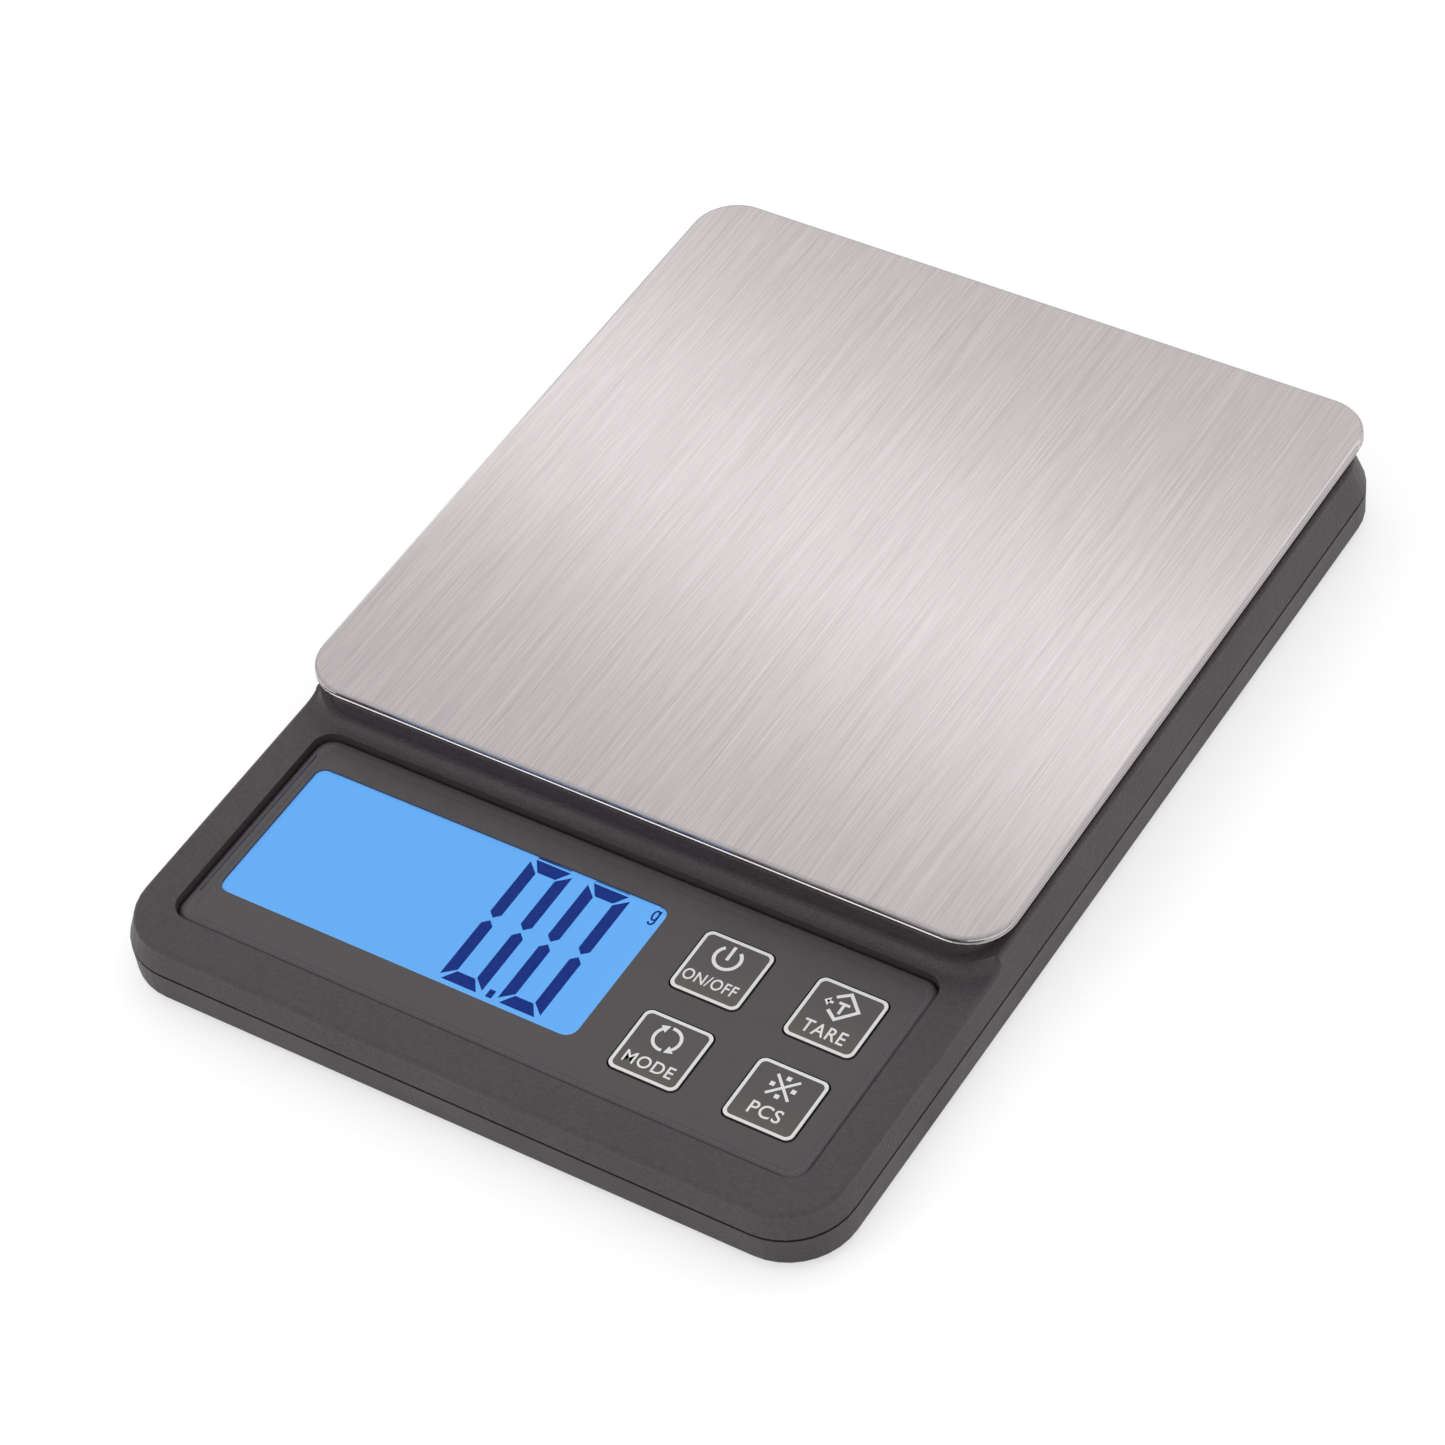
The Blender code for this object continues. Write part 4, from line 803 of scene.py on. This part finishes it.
def tare_icon():
    """The letter T in a diamond with an open left corner, and an arrow out of it."""
    x, y, z = icon_place("tare")
    top = z + PRINT
    line = 0.00057
    bm = bmesh.new()
    route = [
        (x - 0.00187, y + 0.00117),
        (x, y + 0.0026),
        (x + 0.0027, y),
        (x, y - 0.0028),
        (x - 0.00187, y - 0.0015),
    ]
    left, right = polyline_band(route, line)
    extrude_band(bm, left, right, z, top, closed=False)
    stroke(bm, (x - 0.00177, y), (x - 0.0028, y), line * 0.8, z, top)
    arrow_head(bm, (x - 0.00333, y), (-1, 0), 0.0009, 0.0018, z, top)
    stroke(bm, (x - 0.00095, y + 0.00045), (x + 0.00095, y + 0.00045), 0.0005, z, top)
    stroke(bm, (x, y + 0.00021), (x, y - 0.0016), 0.0005, z, top)
    piece("key_tare_icon", bm, PALE_INK, "key_tare")


def mode_icon():
    """Two arrows that chase each other round a ring."""
    x, y, z = icon_place("mode")
    radius, line, head = 0.0025, 0.00055, 0.0013
    bm = bmesh.new()
    for start in (-42.0, 138.0):
        arc_band(bm, (x, y), radius, line, start, start + 139.0, 20, z)
        turn = math.radians(start)
        reach = radius - line / 2
        base = Vector((x + reach * math.cos(turn), y + reach * math.sin(turn)))
        way = Vector((math.sin(turn), -math.cos(turn)))
        arrow_head(bm, base + way * head, way, head, 0.0016, z, z + PRINT)
    piece("key_mode_icon", bm, PALE_INK, "key_mode")


def pcs_icon():
    """A cross with a dot in each of its four openings."""
    x, y, z = icon_place("pcs")
    reach, line, dot, out = 0.0020, 0.00048, 0.0008, 0.00187
    bm = bmesh.new()
    stroke(bm, (x - reach, y - reach), (x + reach, y + reach), line, z, z + PRINT)
    piece("key_pcs_icon_stroke", bm, PALE_INK, "key_pcs")
    bm = bmesh.new()
    stroke(bm, (x - reach, y + reach), (x + reach, y - reach), line, z, z + PRINT * 1.1)
    for way in ((1, 0), (-1, 0), (0, 1), (0, -1)):
        middle = (x + way[0] * out, y + way[1] * out)
        extrude_outline(bm, box_outline(middle, dot, dot), z, z + PRINT)
    piece("key_pcs_icon", bm, PALE_INK, "key_pcs")


# (word, centre offset x, y, width, height) under each picture
KEY_WORDS = {
    "power": ("ON/OFF", -0.0004, -0.0029, 0.0096, 0.0022),
    "tare": ("TARE", -0.0002, -0.00325, 0.0076, 0.0025),
    "mode": ("MODE", -0.00015, -0.0032, 0.0088, 0.0023),
    "pcs": ("PCS", -0.0001, -0.00285, 0.0056, 0.0025),
}


def key_words():
    for name, (text, x, y, width, height) in KEY_WORDS.items():
        centre, z = key_face(name)
        middle = (centre[0] + x, centre[1] + y)
        words(f"key_{name}_word", text, middle, width, height, z, f"key_{name}")


# ---------------------------------------------------------------- batteries
BATTERY_SIDES = 48


def lathe_x(bm, profile, axis_y, axis_z, sides):
    """Turns (x, radius, material number) points about a line along X. The ends are closed."""
    rings = []
    for x, radius, _ in profile:
        ring = []
        for side in range(sides):
            turn = 2 * math.pi * side / sides
            y = axis_y + radius * math.cos(turn)
            ring.append(bm.verts.new((x, y, axis_z + radius * math.sin(turn))))
        rings.append(ring)
    for number in range(len(rings) - 1):
        for side in range(sides):
            ahead = (side + 1) % sides
            near, far = rings[number], rings[number + 1]
            face = bm.faces.new((near[side], near[ahead], far[ahead], far[side]))
            face.material_index = profile[number][2]
    for ring, material in ((rings[0], profile[0][2]), (rings[-1], profile[-1][2])):
        bm.faces.new(ring).material_index = material


def detailed_battery(name):
    """A cell: a printed sleeve rolled over its ends, a crimped shoulder, a bare nipple and base."""
    low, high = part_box(name)
    radius = (high.y - low.y) / 2
    y, z = (low.y + high.y) / 2, (low.z + high.z) / 2
    tip_right = high.x > -low.x
    way = 1 if tip_right else -1
    base_x, tip_x = (low.x, high.x) if tip_right else (high.x, low.x)
    tip = 0.0009
    metal, sleeve, band = 0, 1, 2

    def at(distance):
        return base_x + way * distance

    length = abs(tip_x - base_x)
    shoulder = length - tip
    profile = [
        (at(0.0), radius * 0.55, metal),
        (at(0.00012), radius * 0.60, metal),
        (at(0.00012), radius * 0.84, sleeve),
        (at(0.0), radius * 0.88, sleeve),
        (at(0.00005), radius * 0.94, sleeve),
        (at(0.00035), radius * 0.995, sleeve),
        (at(0.0006), radius, sleeve),
        (at(length * 0.70), radius, band),
        (at(shoulder - 0.0022), radius, band),
        (at(shoulder - 0.0019), radius * 0.975, band),
        (at(shoulder - 0.0016), radius, band),
        (at(shoulder - 0.0004), radius * 0.995, band),
        (at(shoulder - 0.00008), radius * 0.95, band),
        (at(shoulder - 0.0001), radius * 0.82, metal),
        (at(shoulder - 0.0003), radius * 0.76, metal),
        (at(shoulder - 0.0002), radius * 0.44, metal),
        (at(shoulder), 0.0019, metal),
        (at(length - 0.00022), 0.00188, metal),
        (at(length - 0.00004), 0.0017, metal),
        (at(length), 0.0013, metal),
    ]
    bm = bmesh.new()
    lathe_x(bm, profile, y, z, BATTERY_SIDES)
    made = piece(f"{name}_cell", bm, (NICKEL, SLEEVE, SLEEVE_BAND), "base")
    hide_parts(name)


# ---------------------------------------------------------------- circuit board
def block(bm, centre, size, bottom, top, material=0):
    """A small box with one material."""
    before = set(bm.faces)
    extrude_outline(bm, box_outline(centre, *size), bottom, top)
    for face in set(bm.faces) - before:
        face.material_index = material


def board_parts():
    """Solder joints and small parts between the keys' switches and round the controller."""
    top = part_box("main_board")[1].z
    joint = 0.00035
    bm = bmesh.new()
    for name in KEY_WORDS:
        low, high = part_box(f"switch_{name}")
        x, y = (low.x + high.x) / 2, (low.y + high.y) / 2
        half = (high.x - low.x) / 2
        for side_x in (-1, 1):
            for side_y in (-1, 1):
                pad = (x + side_x * (half + 0.0007), y + side_y * half * 0.7)
                block(bm, pad, (0.0011, 0.0009), top, top + joint * 0.5)
    low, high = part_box("controller_chip")
    chip = ((low.x + high.x) / 2, (low.y + high.y) / 2)
    spread = (high.x - low.x) / 2 + 0.0006
    chip_pads = 12
    for number in range(chip_pads):
        turn = 2 * math.pi * (number + 0.5) / chip_pads
        pad = (chip[0] + spread * math.cos(turn), chip[1] + spread * math.sin(turn))
        block(bm, pad, (0.0006, 0.0006), top, top + 0.00008)
    piece("board_solder", bm, SOLDER, "base")
    bm = bmesh.new()
    row_out, pitch, width = 0.0073, 0.0017, 0.0008
    part_top = top + 0.0005
    for row, y in enumerate((chip[1] + row_out, chip[1] - row_out)):
        for number in range(5):
            x = chip[0] - 2 * pitch + number * pitch
            block(bm, (x, y), (width, 0.0016), top, part_top, (number + row) % 2)
            for end in (-1, 1):
                block(bm, (x, y + end * 0.00095), (width, 0.0003), top, part_top, 2)
    piece("board_small_parts", bm, (BLACK_PLASTIC, CERAMIC, SOLDER), "base")


# ---------------------------------------------------------------- underside
def door_marks():
    """Raised grip ribs and two arrow heads on the battery door."""
    low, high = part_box("battery_door")
    x, bottom = (low.x + high.x) / 2, low.z
    top = bottom + 0.0001
    under = bottom - 0.00012
    bm = bmesh.new()
    for number in range(5):
        y = low.y + 0.0035 + number * 0.0011
        extrude_outline(bm, rounded((x, y), 0.0130, 0.0005, 0.00024, 4), under, top)
    tip = Vector((x, high.y - 0.0032))
    for number in range(2):
        arrow_head(bm, tip - Vector((0, 0.0027 * number)), (0, 1), 0.0019, 0.0050, under, top)
    piece("door_grip", bm, CHARCOAL, "battery_door")


# ---------------------------------------------------------------- load cell
def bending_beam():
    """The load cell as one beam: a copy of its mesh as a separate object, with the CAD node hidden.
    """
    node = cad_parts["load_cell"]
    mesh = node.data.copy()
    mesh.name = "load_cell_beam"
    beam = bpy.data.objects.new("load_cell_beam", mesh)
    bpy.context.scene.collection.objects.link(beam)
    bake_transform(beam)
    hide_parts("load_cell")


# ---------------------------------------------------------------- the whole scene
make_camera()
make_studio()
dress_nodes()
display_segments()
overlay_border()
for key_name in KEY_WORDS:
    key_frame(key_name)
power_icon()
tare_icon()
mode_icon()
pcs_icon()
key_words()
detailed_battery("battery_1")
detailed_battery("battery_2")
board_parts()
door_marks()
bending_beam()
